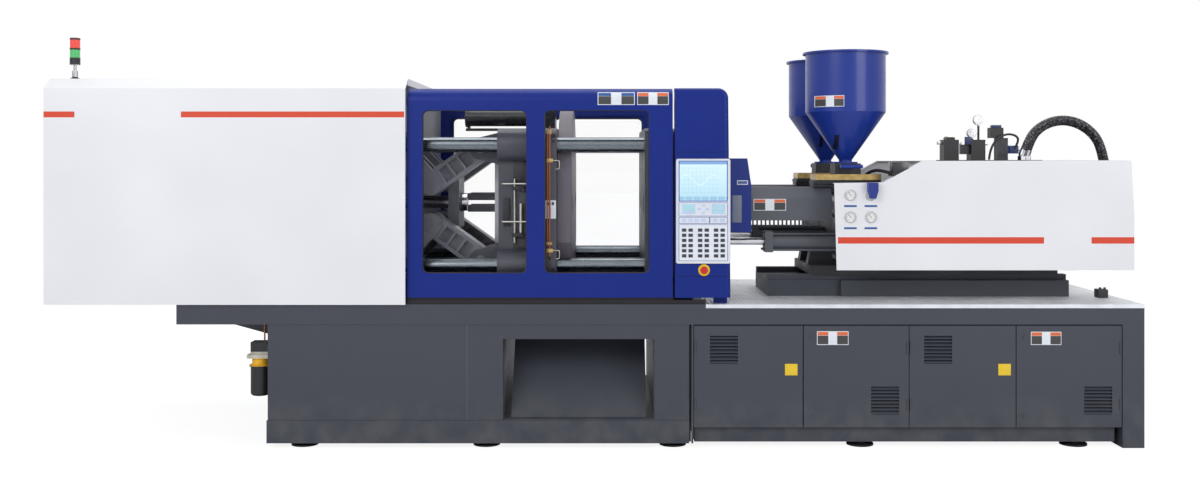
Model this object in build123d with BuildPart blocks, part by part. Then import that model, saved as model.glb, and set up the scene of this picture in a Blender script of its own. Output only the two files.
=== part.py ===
from build123d import *
import math
import os

# Two-component injection moulding machine with a toggle clamp and a rotary mould table.
# Millimetres. +X runs from the clamp end to the injection end, +Y to the rear side, +Z up.
# The origin is on the floor, under the middle of the machine.

os.makedirs("parts", exist_ok=True)

# Overall plan
END_LEFT = -3250.0
END_RIGHT = 3250.0
DECK_HALF = 750.0
FRAME_HALF = 745.0
HOOD_HALF = 770.0
BEAM_BOTTOM = 731.0
BEAM_TOP = 850.0
FLOOR_GAP = 28.0
SEAT = 0.3

# Lower frame
BEAM_LEFT = -2476.0
BED_LEFT = -1937.0
BED_RIGHT = 557.0
FRAME_JOIN = 571.0
BED_WALL = 25.0
PLINTH_TOP = 162.0
CHUTE_LEFT = -545.0
CHUTE_RIGHT = 351.0
CHUTE_BOTTOM = 167.0
CHUTE_TOP = 644.0
RAIL_Y = 420.0
RAIL_WIDTH = 120.0
RAIL_TOP = 900.0
SHEET_THICK = 5.0
DECK_LEFT = 656.0

# Cabinet doors under the injection end: left edge, right edge, side of the hinge
DOOR_BOTTOM = 123.0
DOOR_TOP = 723.0
DOOR_SPANS = ((586.0, 1229.0, "left"), (1235.0, 1857.0, "right"),
              (1861.0, 2489.0, "left"), (2494.0, 3116.0, "right"))
DOOR_DEPTH = 20.0
DOOR_SHEET = 3.0
VENT_SIZE = 165.0
VENT_PLACES = ((763.0, 581.0), (1716.0, 281.0), (2030.0, 581.0), (2977.0, 281.0))
VENT_SLATS = 8
LOCK_RADIUS = 13.0
LOCK_HEIGHTS = (183.0, 653.0)
HINGE_RADIUS = 7.0
HINGE_HEIGHTS = (256.0, 593.0)
KNUCKLE = 34.0
LEG_LEFT = 3121.0
CABINET_FRONT = -721.0

# Levelling feet
FOOT_X = (-1740.0, -650.0, 465.0, 1588.0, 2868.0)
FOOT_Y = 640.0
FOOT_RADIUS = 80.0

# Clamp unit
AXIS_Z = 1430.0
TIE_RADIUS = 45.0
TIE_Y = 540.0
TIE_Z = 367.0
PLATEN_HALF_Y = 640.0
PLATEN_HALF_Z = 464.0
FIXED_LEFT = 298.0
FIXED_RIGHT = 590.0
UNIT_Y = 343.0
RING_RADIUS = 62.5
RING_DEPTH = 40.0
NOZZLE_MOUTH = 150.0
MOVING_LEFT = -590.0
MOVING_RIGHT = -232.0
TABLE_LEFT = -230.0
TABLE_RIGHT = -144.0
TABLE_RADIUS = 600.0
TABLE_FLAT_Y = 556.0
REAR_LEFT = -1500.0
REAR_RIGHT = -1310.0
BOSS_RADIUS = 100.0

# Toggle: pivots of the upper half, as X and height over the clamp axis
PLATEN_PIVOT = (-710.0, 345.0)
KNEE_PIVOT = (-1020.0, 125.0)
REAR_PIVOT = (-1230.0, 345.0)
CROSS_PIVOT = (-1198.0, 150.0)
LINK_END = 70.0
PIN_RADIUS = 30.0
OPEN_HOLE = 42.0
CROSS_PIN = 26.0
LINK_Y = (250.0, 390.0)
CHEEKS_Y = ((205.0, 245.0), (395.0, 435.0))
REAR_CHEEKS_Y = ((210.0, 245.0), (395.0, 430.0))
CROSS_LINK_Y = (160.0, 200.0)
CROSS_HALF_Y = 140.0


def save(piece, name):
    """Label a finished piece and write it as its own file."""
    piece.part.label = name
    export_step(piece.part, f"parts/{name}.step")


def block(x_span, y_span, z_span, mode=Mode.ADD):
    """Rectangular stock between two X, two Y and two Z values."""
    with BuildSketch(Plane.XY.offset(z_span[0])) as outline:
        with Locations((sum(x_span) / 2, sum(y_span) / 2)):
            Rectangle(x_span[1] - x_span[0], y_span[1] - y_span[0])
    extrude(outline.sketch, amount=z_span[1] - z_span[0], mode=mode)


def plate(points, y_span, mode=Mode.ADD):
    """Flat plate with an outline in X and Z, thick between two Y values."""
    with BuildSketch(Plane.XZ.offset(-y_span[1])) as outline:
        with BuildLine():
            Polyline(*points, close=True)
        make_face()
    extrude(outline.sketch, amount=y_span[1] - y_span[0], mode=mode)


def rod(start, length, radius, mode=Mode.ADD):
    """Round bar or bore along +X from a start point."""
    x, y, z = start
    with BuildSketch(Plane.YZ.offset(x)) as section:
        with Locations((y, z)):
            Circle(radius)
    extrude(section.sketch, amount=length, mode=mode)


def cross_pin(x, z, y_span, radius, mode=Mode.ADD):
    """Round pin or bore along Y between two Y values."""
    with BuildSketch(Plane.XZ.offset(-y_span[1])) as section:
        with Locations((x, z)):
            Circle(radius)
    extrude(section.sketch, amount=y_span[1] - y_span[0], mode=mode)


def post(x, y, z_span, radius, mode=Mode.ADD):
    """Round upright or bore between two Z values."""
    with BuildSketch(Plane.XY.offset(z_span[0])) as section:
        with Locations((x, y)):
            Circle(radius)
    extrude(section.sketch, amount=z_span[1] - z_span[0], mode=mode)


def both_sides(y_span):
    """The same Y span on the front side and on the rear side."""
    low, high = sorted(y_span)
    return ((-high, -low), (low, high))


# Clamp bed: a welded box with the moulding chute through it and an overhanging beam on top.
with BuildPart() as clamp_bed:
    block((BED_LEFT, BED_RIGHT), (-740, 740), (FLOOR_GAP, BEAM_BOTTOM))
    block((BED_LEFT - 6, BED_RIGHT), (-FRAME_HALF, FRAME_HALF), (FLOOR_GAP, PLINTH_TOP))
    for bay in ((BED_LEFT + BED_WALL, -770), (-745, CHUTE_LEFT - BED_WALL),
                (CHUTE_RIGHT + BED_WALL, BED_RIGHT - BED_WALL)):
        block(bay, (-715, 715), (FLOOR_GAP + BED_WALL, BEAM_BOTTOM - BED_WALL), Mode.SUBTRACT)
    block((CHUTE_LEFT, CHUTE_RIGHT), (-FRAME_HALF, FRAME_HALF), (CHUTE_BOTTOM, CHUTE_TOP), Mode.SUBTRACT)
    block((BEAM_LEFT, FRAME_JOIN), (-FRAME_HALF, FRAME_HALF), (BEAM_BOTTOM, BEAM_TOP))
    block((-1900, CHUTE_LEFT - 60), (-340, 340), (BEAM_BOTTOM, BEAM_TOP), Mode.SUBTRACT)
    block((CHUTE_LEFT, CHUTE_RIGHT - 60), (-340, 340), (CHUTE_TOP, BEAM_TOP), Mode.SUBTRACT)
    for side in both_sides((RAIL_Y - RAIL_WIDTH / 2, RAIL_Y + RAIL_WIDTH / 2)):
        block((REAR_LEFT - 60, -200), side, (BEAM_TOP, RAIL_TOP))
    block((BED_RIGHT, FRAME_JOIN), (-700, 700), (FLOOR_GAP, BEAM_BOTTOM))
    for side in both_sides((560, 575)):
        plate(((BED_LEFT, BEAM_BOTTOM), (BED_LEFT - 330, BEAM_BOTTOM), (BED_LEFT, 640)), side)
save(clamp_bed, "clamp_bed")

# Chute plate: folded sheet that leads the mouldings out at the front.
CHUTE_SHEET = 5.0
CHUTE_SIDE_GAP = 45.0
with BuildPart() as chute_plate:
    with BuildSketch(Plane.YZ.offset(CHUTE_LEFT + CHUTE_SIDE_GAP)):
        with BuildLine():
            Polyline((-735, CHUTE_BOTTOM + CHUTE_SHEET), (-692, CHUTE_BOTTOM + CHUTE_SHEET),
                     (-334, CHUTE_TOP), (-300, CHUTE_TOP), (-300, CHUTE_TOP - CHUTE_SHEET),
                     (-331, CHUTE_TOP - CHUTE_SHEET), (-689, CHUTE_BOTTOM), (-735, CHUTE_BOTTOM), close=True)
        make_face()
    extrude(amount=CHUTE_RIGHT - CHUTE_LEFT - 2 * CHUTE_SIDE_GAP)
    chamfer(chute_plate.edges().filter_by(Axis.Y).group_by(Axis.Z)[0], 2)
save(chute_plate, "chute_plate")

# Injection bed: cabinet frame with two bays open at the front, a recessed plinth and an end leg.
with BuildPart() as injection_bed:
    block((FRAME_JOIN, END_RIGHT), (CABINET_FRONT, 740), (PLINTH_TOP - 42, BEAM_BOTTOM))
    block((FRAME_JOIN + 20, LEG_LEFT - 30), (-700, 700), (FLOOR_GAP, PLINTH_TOP - 42))
    block((FRAME_JOIN, END_RIGHT), (-FRAME_HALF, FRAME_HALF), (BEAM_BOTTOM, BEAM_TOP - SHEET_THICK))
    block((LEG_LEFT, END_RIGHT), (-FRAME_HALF, FRAME_HALF), (0, BEAM_BOTTOM))
    block((FRAME_JOIN, DOOR_SPANS[0][0] - 4), (-FRAME_HALF, CABINET_FRONT), (FLOOR_GAP, BEAM_BOTTOM))
    for bay in ((600, 1842), (1876, 3104)):
        block(bay, (CABINET_FRONT, 715), (140, 706), Mode.SUBTRACT)
    block((LEG_LEFT + 12, END_RIGHT - 12), (-700, 700), (0, BEAM_BOTTOM - 20), Mode.SUBTRACT)
    block((FRAME_JOIN + 12, END_RIGHT - 12), (-700, 700), (BEAM_BOTTOM + 12, BEAM_TOP - 20), Mode.SUBTRACT)
    block((FRAME_JOIN, DECK_LEFT), (-FRAME_HALF, FRAME_HALF), (BEAM_TOP - SHEET_THICK, BEAM_TOP))
save(injection_bed, "injection_bed")

# Chequer-plate deck, one folded sheet with a drip edge at each side.
with BuildPart() as deck_plate:
    block((DECK_LEFT, END_RIGHT), (-DECK_HALF, DECK_HALF), (BEAM_TOP - SHEET_THICK, BEAM_TOP))
    for side in both_sides((FRAME_HALF, DECK_HALF)):
        block((DECK_LEFT, END_RIGHT), side, (BEAM_TOP - 22, BEAM_TOP - SHEET_THICK))
save(deck_plate, "deck_plate")

# Levelling feet: turned pads with a domed shoulder, one at each side of five stations.
with BuildPart() as leveling_feet:
    with BuildSketch(Plane.XZ) as foot_profile:
        with BuildLine():
            Polyline((0, 0), (FOOT_RADIUS, 0), (FOOT_RADIUS, 10), (FOOT_RADIUS - 18, 16),
                     (42, 18), (42, FLOOR_GAP), (0, FLOOR_GAP), close=True)
        make_face()
    foot_solid = revolve(foot_profile.sketch, axis=Axis.Z, mode=Mode.PRIVATE)
    with Locations([(x, y) for x in FOOT_X for y in (-FOOT_Y, FOOT_Y)]):
        add(foot_solid)
save(leveling_feet, "leveling_feet")


def cabinet_door(left, right, hinge_side, vent):
    """Pan-shaped sheet door with a louvred vent, two hinge knuckles and two turn locks."""
    pivot_x = left + HINGE_RADIUS if hinge_side == "left" else right - HINGE_RADIUS
    lock_x = right - 50 if hinge_side == "left" else left + 50
    front = -FRAME_HALF + 2
    with BuildPart() as door:
        block((left, right), (front, front + DOOR_DEPTH), (DOOR_BOTTOM, DOOR_TOP))
        block((left + DOOR_SHEET, right - DOOR_SHEET), (front + DOOR_SHEET, front + DOOR_DEPTH),
              (DOOR_BOTTOM + DOOR_SHEET, DOOR_TOP - DOOR_SHEET), Mode.SUBTRACT)
        vent_low = vent[1] - VENT_SIZE / 2
        vent_x = (vent[0] - VENT_SIZE / 2, vent[0] + VENT_SIZE / 2)
        block(vent_x, (front, front + DOOR_SHEET), (vent_low, vent_low + VENT_SIZE), Mode.SUBTRACT)
        pitch = VENT_SIZE / VENT_SLATS
        with BuildSketch(Plane.YZ.offset(vent_x[0])) as slats:
            for row in range(VENT_SLATS):
                foot = vent_low + (row + 0.15) * pitch
                with BuildLine():
                    Polyline((front, foot), (front + 14, foot + 11), (front + 14, foot + 15),
                             (front, foot + 4), close=True)
                make_face()
        extrude(slats.sketch, amount=VENT_SIZE)
        for z in HINGE_HEIGHTS:
            post(pivot_x, front, (z - KNUCKLE, z + KNUCKLE), HINGE_RADIUS)
        if hinge_side == "right":
            for z in LOCK_HEIGHTS:
                cross_pin(lock_x, z, (front - 4, front), LOCK_RADIUS)
                block((lock_x - 40, lock_x), (front + 16, front + 20), (z - 9, z + 9))
                cross_pin(lock_x, z, (front, front + 20), LOCK_RADIUS - 3)
    return door


for number, ((left, right, hinge_side), vent) in enumerate(zip(DOOR_SPANS, VENT_PLACES), start=1):
    save(cabinet_door(left, right, hinge_side, vent), f"cabinet_door_{number}")

# Control boards behind the first two doors: a back plate on the rear wall with its modules.
with BuildPart() as electrical_panel:
    block((640, 1800), (700, 712), (170, 680))
    for row, height in enumerate((560, 380, 220)):
        for column in range(5 + row):
            width = 1040 / (5 + row)
            module_left = 680 + column * (width + 8)
            block((module_left, module_left + width - 12), (600 + 20 * row, 700), (height - 50, height + 50))
save(electrical_panel, "electrical_panel")

# Hydraulic power pack behind the last two doors: tank with the motor and pump in front of it.
with BuildPart() as power_pack:
    block((1930, 3070), (-60, 690), (140, 560))
    fillet(power_pack.edges().filter_by(Axis.Z), 40)
    rod((2050, -330, 350), 430, 150)
    rod((2480, -330, 350), 90, 110)
    rod((2570, -330, 350), 200, 85)
    for foot in ((2090, 2150), (2380, 2440), (2640, 2700)):
        block(foot, (-440, -220), (140, 290))
    post(2800, 300, (560, 640), 60)
    block((2600, 2680), (-330, -60), (400, 440))
save(power_pack, "power_pack")

# Lubrication pump on the end of the bed: bracket, reservoir, cap and pump head.
PUMP_X = -2007.0
PUMP_Y = -640.0
with BuildPart() as lubrication_pump:
    post(PUMP_X, PUMP_Y, (295, 470), 58)
    fillet(lubrication_pump.edges().group_by(Axis.Z)[0], 18)
    post(PUMP_X, PUMP_Y, (470, 478), 66)
    post(PUMP_X, PUMP_Y, (478, 522), 50)
    block((PUMP_X - 66, PUMP_X + 64), (PUMP_Y - 62, PUMP_Y + 62), (522, 544))
    block((PUMP_X - 48, PUMP_X + 50), (PUMP_Y - 45, PUMP_Y + 45), (544, 617))
    block((PUMP_X + 50, BED_LEFT), (PUMP_Y - 45, PUMP_Y + 45), (522, 600))
    post(PUMP_X + 24, PUMP_Y, (617, BEAM_BOTTOM), 5)
save(lubrication_pump, "lubrication_pump")

# Tie bars and their nuts.
TIE_LEFT = -1640.0
TIE_RIGHT = 690.0
NUT_RADIUS = 78.0
TIE_PLACES = [(y, AXIS_Z + z) for y in (-TIE_Y, TIE_Y) for z in (-TIE_Z, TIE_Z)]
with BuildPart() as tie_bars:
    for y, z in TIE_PLACES:
        rod((TIE_LEFT, y, z), TIE_RIGHT - TIE_LEFT, TIE_RADIUS)
    chamfer(tie_bars.edges().filter_by(GeomType.CIRCLE), 6)
save(tie_bars, "tie_bars")

with BuildPart() as tie_bar_nuts:
    for y, z in TIE_PLACES:
        rod((FIXED_RIGHT, y, z), 60, NUT_RADIUS)
        rod((REAR_LEFT - 90, y, z), 90, NUT_RADIUS)
    chamfer(tie_bar_nuts.edges().filter_by(GeomType.CIRCLE), 5)
    for y, z in TIE_PLACES:
        rod((REAR_LEFT - 90, y, z), FIXED_RIGHT + 150 - REAR_LEFT, TIE_RADIUS + SEAT, Mode.SUBTRACT)
save(tie_bar_nuts, "tie_bar_nuts")

# Fixed platen: cast block with pockets between its ribs and a stepped mouth for each nozzle.
with BuildPart() as fixed_platen:
    with BuildSketch(Plane.YZ.offset(FIXED_LEFT)):
        with Locations((0, AXIS_Z)):
            RectangleRounded(2 * PLATEN_HALF_Y, 2 * PLATEN_HALF_Z, 50)
    extrude(amount=FIXED_RIGHT - FIXED_LEFT)
    for side in both_sides((PLATEN_HALF_Y - 190, PLATEN_HALF_Y - 20)):
        block((FIXED_LEFT + 20, FIXED_RIGHT - 20), side, (BEAM_TOP, AXIS_Z - PLATEN_HALF_Z + 60))
    for y, z in TIE_PLACES:
        rod((FIXED_LEFT, y, z), FIXED_RIGHT - FIXED_LEFT, TIE_RADIUS + SEAT, Mode.SUBTRACT)
    for y in (-UNIT_Y, UNIT_Y):
        rod((FIXED_LEFT, y, AXIS_Z), RING_DEPTH, RING_RADIUS, Mode.SUBTRACT)
        with BuildSketch(Plane.YZ.offset(FIXED_LEFT + RING_DEPTH)) as throat:
            with Locations((y, AXIS_Z)):
                Circle(RING_RADIUS)
        with BuildSketch(Plane.YZ.offset(FIXED_RIGHT)) as mouth:
            with Locations((y, AXIS_Z)):
                Circle(NOZZLE_MOUTH)
        loft([throat.sketch.faces()[0], mouth.sketch.faces()[0]], mode=Mode.SUBTRACT)
    for z in (AXIS_Z - 330, AXIS_Z + 330):
        for y_span in ((-420, -140), (140, 420)):
            block((FIXED_LEFT + 110, FIXED_RIGHT), y_span, (z - 85, z + 85), Mode.SUBTRACT)
        block((FIXED_LEFT + 110, FIXED_RIGHT), (-90, 90), (z - 85, z + 85), Mode.SUBTRACT)
    for y in (-610, -470, -140, 140, 470, 610):
        for z in (AXIS_Z - 210, AXIS_Z, AXIS_Z + 210):
            rod((FIXED_LEFT, y, z), 45, 10, Mode.SUBTRACT)
save(fixed_platen, "fixed_platen")


def toggle_lug(pivot, root_x, root_half, y_span, mirror_z=1):
    """Tapered lug from a casting's face to a pivot, with a round nose at the pivot."""
    x, height = pivot
    z = AXIS_Z + mirror_z * height
    plate(((root_x, z - root_half), (x, z - LINK_END), (x, z + LINK_END), (root_x, z + root_half)), y_span)
    cross_pin(x, z, y_span, LINK_END)


# Moving platen: ribbed casting with tie-bar bosses, slide shoes and the toggle lugs at its back.
with BuildPart() as moving_platen:
    with BuildSketch(Plane.YZ.offset(MOVING_RIGHT - 110)):
        with Locations((0, AXIS_Z)):
            RectangleRounded(2 * PLATEN_HALF_Y, 2 * PLATEN_HALF_Z, 90)
    extrude(amount=110)
    with BuildSketch(Plane.YZ.offset(MOVING_LEFT)):
        with Locations((0, AXIS_Z)):
            RectangleRounded(2 * PLATEN_HALF_Y - 220, 2 * PLATEN_HALF_Z - 130, 60)
    extrude(amount=MOVING_RIGHT - 110 - MOVING_LEFT)
    for y, z in TIE_PLACES:
        rod((MOVING_LEFT, y, z), MOVING_RIGHT - MOVING_LEFT, BOSS_RADIUS)
    for side in both_sides((RAIL_Y - 90, RAIL_Y + 90)):
        block((MOVING_LEFT, MOVING_RIGHT - 40), side, (RAIL_TOP + SEAT, AXIS_Z - PLATEN_HALF_Z + 90))
    for mirror_z in (-1, 1):
        for side in (span for cheek in CHEEKS_Y for span in both_sides(cheek)):
            toggle_lug(PLATEN_PIVOT, MOVING_LEFT + 20, 105, side, mirror_z)
        for side in both_sides(LINK_Y):
            gap = (side[0] - 5, side[1] + 5)
            z = AXIS_Z + mirror_z * PLATEN_PIVOT[1]
            block((MOVING_LEFT - 10, MOVING_LEFT + 90), gap, (z - 115, z + 115), Mode.SUBTRACT)
        for side in both_sides((180, 460)):
            cross_pin(PLATEN_PIVOT[0], AXIS_Z + mirror_z * PLATEN_PIVOT[1], side, PIN_RADIUS + 0.05,
                      Mode.SUBTRACT)
    for y, z in TIE_PLACES:
        rod((MOVING_LEFT, y, z), MOVING_RIGHT - MOVING_LEFT, TIE_RADIUS + SEAT, Mode.SUBTRACT)
    for side in both_sides((260, 500)):
        block((MOVING_LEFT, MOVING_RIGHT - 120), side, (AXIS_Z - 150, AXIS_Z + 150), Mode.SUBTRACT)
    block((MOVING_LEFT, -480), (-140, 140), (AXIS_Z - 290, AXIS_Z + 290), Mode.SUBTRACT)
    for z_span in ((AXIS_Z - 60, AXIS_Z - 15), (AXIS_Z + 15, AXIS_Z + 60)):
        for side in both_sides((70, 110)):
            block((-825, -480), side, z_span)
    for y in (-80, 80):
        for z in (AXIS_Z - 220, AXIS_Z + 220):
            rod((MOVING_LEFT, y, z), MOVING_RIGHT - MOVING_LEFT, 22, Mode.SUBTRACT)
save(moving_platen, "moving_platen")

# Ejector: plate on the guide bars of the moving platen, with four rods into the platen's holes.
EJECTOR_RIGHT = -604.0
with BuildPart() as ejector_plate:
    block((EJECTOR_RIGHT - 46, EJECTOR_RIGHT), (-130, 130), (AXIS_Z - 280, AXIS_Z + 280))
    fillet(ejector_plate.edges().filter_by(Axis.X), 24)
    for z_span in ((AXIS_Z - 60, AXIS_Z - 15), (AXIS_Z + 15, AXIS_Z + 60)):
        for side in both_sides((70, 110)):
            passage = (side[0] - SEAT, side[1] + SEAT)
            block((EJECTOR_RIGHT - 46, EJECTOR_RIGHT), passage, (z_span[0] - SEAT, z_span[1] + SEAT),
                  Mode.SUBTRACT)
    for y in (-80, 80):
        for z in (AXIS_Z - 220, AXIS_Z + 220):
            rod((EJECTOR_RIGHT, y, z), 250, 20)
save(ejector_plate, "ejector_plate")

# Rotary mould table: disc with two flats, a locating bore for each mould half and tapped holes.
with BuildPart() as rotary_table:
    with BuildSketch(Plane.YZ.offset(TABLE_LEFT)) as disc:
        with Locations((0, AXIS_Z)):
            Circle(TABLE_RADIUS)
            Rectangle(2 * TABLE_FLAT_Y, 3 * TABLE_RADIUS, mode=Mode.INTERSECT)
    extrude(amount=TABLE_RIGHT - TABLE_LEFT)
    chamfer(rotary_table.edges().group_by(Axis.X)[-1], 5)
    for y in (-UNIT_Y, UNIT_Y):
        rod((TABLE_LEFT, y, AXIS_Z), TABLE_RIGHT - TABLE_LEFT, RING_RADIUS, Mode.SUBTRACT)
        for dy in (-130, 130):
            for z in (AXIS_Z - 220, AXIS_Z, AXIS_Z + 220):
                rod((TABLE_RIGHT - 40, y + dy, z), 40, 10, Mode.SUBTRACT)
save(rotary_table, "rotary_table")

# Drive of the rotary table on top of the moving platen: motor, flange and gear housing.
DRIVE_Z = 1980.0
with BuildPart() as table_drive:
    rod((-851, 0, DRIVE_Z), 400, 56)
    rod((-851, 0, DRIVE_Z), 26, 62)
    block((-451, -415), (-75, 75), (DRIVE_Z - 75, DRIVE_Z + 75))
    chamfer(table_drive.edges().filter_by(Axis.X), 14)
    block((-415, MOVING_RIGHT - 30), (-110, 110), (AXIS_Z + PLATEN_HALF_Z, DRIVE_Z + 70))
    block((-600, MOVING_RIGHT - 112), (-110, 110), (AXIS_Z + PLATEN_HALF_Z - 65, AXIS_Z + PLATEN_HALF_Z))
    rod((-851, 0, DRIVE_Z - 78), 430, 9)
    block((-840, -820), (-14, 14), (DRIVE_Z - 78, DRIVE_Z))
save(table_drive, "table_drive")

# Rear platen: casting with the lugs of the rear links and the bore of the clamp rod.
CLAMP_ROD = 40.0
with BuildPart() as rear_platen:
    with BuildSketch(Plane.YZ.offset(REAR_LEFT)):
        with Locations((0, AXIS_Z)):
            RectangleRounded(2 * PLATEN_HALF_Y, 2 * PLATEN_HALF_Z, 90)
    extrude(amount=REAR_RIGHT - REAR_LEFT)
    for side in both_sides((RAIL_Y - 90, RAIL_Y + 90)):
        block((REAR_LEFT + 20, REAR_RIGHT - 20), side, (RAIL_TOP, AXIS_Z - PLATEN_HALF_Z + 60))
    for mirror_z in (-1, 1):
        for side in both_sides(LINK_Y):
            toggle_lug(REAR_PIVOT, REAR_RIGHT - 5, 90, side, mirror_z)
            cross_pin(REAR_PIVOT[0], AXIS_Z + mirror_z * REAR_PIVOT[1], side, PIN_RADIUS + 0.05, Mode.SUBTRACT)
    for y, z in TIE_PLACES:
        rod((REAR_LEFT, y, z), REAR_RIGHT - REAR_LEFT, TIE_RADIUS + SEAT, Mode.SUBTRACT)
    rod((REAR_LEFT, 0, AXIS_Z), REAR_RIGHT - REAR_LEFT, CLAMP_ROD + 2, Mode.SUBTRACT)
    for side in both_sides((120, 440)):
        block((REAR_LEFT, REAR_LEFT + 110), side, (AXIS_Z - 150, AXIS_Z + 150), Mode.SUBTRACT)
save(rear_platen, "rear_platen")

# Clamp cylinder behind the rear platen, with its bore, gland and four tie rods.
CYLINDER_LEFT = -2300.0
CYLINDER_RADIUS = 120.0
BORE_RADIUS = 95.0
with BuildPart() as clamp_cylinder:
    rod((CYLINDER_LEFT, 0, AXIS_Z), REAR_LEFT - CYLINDER_LEFT, CYLINDER_RADIUS)
    for cap_left in (CYLINDER_LEFT, REAR_LEFT - 60):
        block((cap_left, cap_left + 60), (-145, 145), (AXIS_Z - 145, AXIS_Z + 145))
    for y in (-125, 125):
        for z in (AXIS_Z - 125, AXIS_Z + 125):
            rod((CYLINDER_LEFT - 20, y, z), REAR_LEFT - CYLINDER_LEFT, 14)
    rod((CYLINDER_LEFT + 60, 0, AXIS_Z), REAR_LEFT - CYLINDER_LEFT - 120, BORE_RADIUS, Mode.SUBTRACT)
    rod((REAR_LEFT - 60, 0, AXIS_Z), 60, CLAMP_ROD + 0.05, Mode.SUBTRACT)
save(clamp_cylinder, "clamp_cylinder")

# Crosshead: C-shaped casting, open to the left, that carries the short links on its two arms.
CROSS_BACK = (-947.0, -878.0)
CROSS_ARM = (111.0, 189.0)
CROSS_ARM_END = CROSS_PIVOT[0]
with BuildPart() as crosshead:
    block(CROSS_BACK, (-CROSS_HALF_Y, CROSS_HALF_Y), (AXIS_Z - CROSS_ARM[1], AXIS_Z + CROSS_ARM[1]))
    fillet(crosshead.edges().filter_by(Axis.Y).group_by(Axis.X)[-1], 28)
    for mirror_z in (-1, 1):
        arm_z = sorted((AXIS_Z + mirror_z * CROSS_ARM[0], AXIS_Z + mirror_z * CROSS_ARM[1]))
        block((CROSS_ARM_END, CROSS_BACK[0]), (-CROSS_HALF_Y, CROSS_HALF_Y), arm_z)
        z = AXIS_Z + mirror_z * CROSS_PIVOT[1]
        cross_pin(CROSS_ARM_END, z, (-CROSS_HALF_Y, CROSS_HALF_Y), (CROSS_ARM[1] - CROSS_ARM[0]) / 2)
        cross_pin(CROSS_ARM_END, z, (-CROSS_HALF_Y, CROSS_HALF_Y), CROSS_PIN + 0.05, Mode.SUBTRACT)
        for side in both_sides((60, CROSS_HALF_Y)):
            plate(((-1130, z - 14), (-985, z - 14), (-985, z + 14), (-1130, z + 14)), side, Mode.SUBTRACT)
    rod((CROSS_BACK[0], 0, AXIS_Z), CROSS_BACK[1] - CROSS_BACK[0] + 8, 62)
    rod((CROSS_BACK[0], 0, AXIS_Z), CROSS_BACK[1] - CROSS_BACK[0] + 8, CLAMP_ROD + SEAT, Mode.SUBTRACT)
save(crosshead, "crosshead")

# Clamp rod with its piston, fixed in the crosshead.
with BuildPart() as clamp_rod:
    rod((-1900, 0, AXIS_Z), 1900 + CROSS_BACK[1], CLAMP_ROD)
    rod((-1900, 0, AXIS_Z), 70, BORE_RADIUS - 1)
    rod((CROSS_BACK[1] + 8, 0, AXIS_Z), 30, 58)
    rod((CROSS_BACK[1], 0, AXIS_Z), 30, CLAMP_ROD)
save(clamp_rod, "clamp_rod")


def link_outline(start, end, radius, mirror_z=1):
    """Bar outline with round ends about two pivots, given as X and height over the axis."""
    a = (start[0], AXIS_Z + mirror_z * start[1])
    b = (end[0], AXIS_Z + mirror_z * end[1])
    length = math.dist(a, b)
    turn = math.degrees(math.atan2(b[1] - a[1], b[0] - a[0]))
    with Locations(Location(((a[0] + b[0]) / 2, (a[1] + b[1]) / 2, 0), (0, 0, turn))):
        SlotCenterToCenter(length, 2 * radius)


def link_point(start, end, along, across, mirror_z):
    """Point on a link, as fractions of its length along it and millimetres across it."""
    a = (start[0], AXIS_Z + mirror_z * start[1])
    b = (end[0], AXIS_Z + mirror_z * end[1])
    length = math.dist(a, b)
    ux, uz = (b[0] - a[0]) / length, (b[1] - a[1]) / length
    return (a[0] + along * length * ux - across * uz, a[1] + along * length * uz + across * ux)


# Front links: cast bars between knee and moving platen, with ribbed pockets in both faces.
# The hole at the knee is wide, because the straight-line couplings leave the pin a little play.
POCKET_DEPTH = 48.0
RIB_STATIONS = ((0.23, 0.38), (0.42, 0.58), (0.62, 0.77))
POCKET_HALF = 46.0


def front_links(mirror_z):
    with BuildPart() as links:
        for side in both_sides(LINK_Y):
            with BuildSketch(Plane.XZ.offset(-side[1])) as outline:
                link_outline(KNEE_PIVOT, PLATEN_PIVOT, LINK_END, mirror_z)
            extrude(outline.sketch, amount=side[1] - side[0])
            for near, far in RIB_STATIONS:
                corners = [link_point(KNEE_PIVOT, PLATEN_PIVOT, s, w, mirror_z) for s, w in
                           ((near, -POCKET_HALF), (far, -POCKET_HALF), (far, POCKET_HALF), (near, POCKET_HALF))]
                plate(corners, (side[0], side[0] + POCKET_DEPTH), Mode.SUBTRACT)
                plate(corners, (side[1] - POCKET_DEPTH, side[1]), Mode.SUBTRACT)
            cross_pin(KNEE_PIVOT[0], AXIS_Z + mirror_z * KNEE_PIVOT[1], side, OPEN_HOLE, Mode.SUBTRACT)
        for side in both_sides((CHEEKS_Y[0][0] - 4, CHEEKS_Y[1][1] + 4)):
            cross_pin(PLATEN_PIVOT[0], AXIS_Z + mirror_z * PLATEN_PIVOT[1], side, PIN_RADIUS)
    return links


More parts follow.
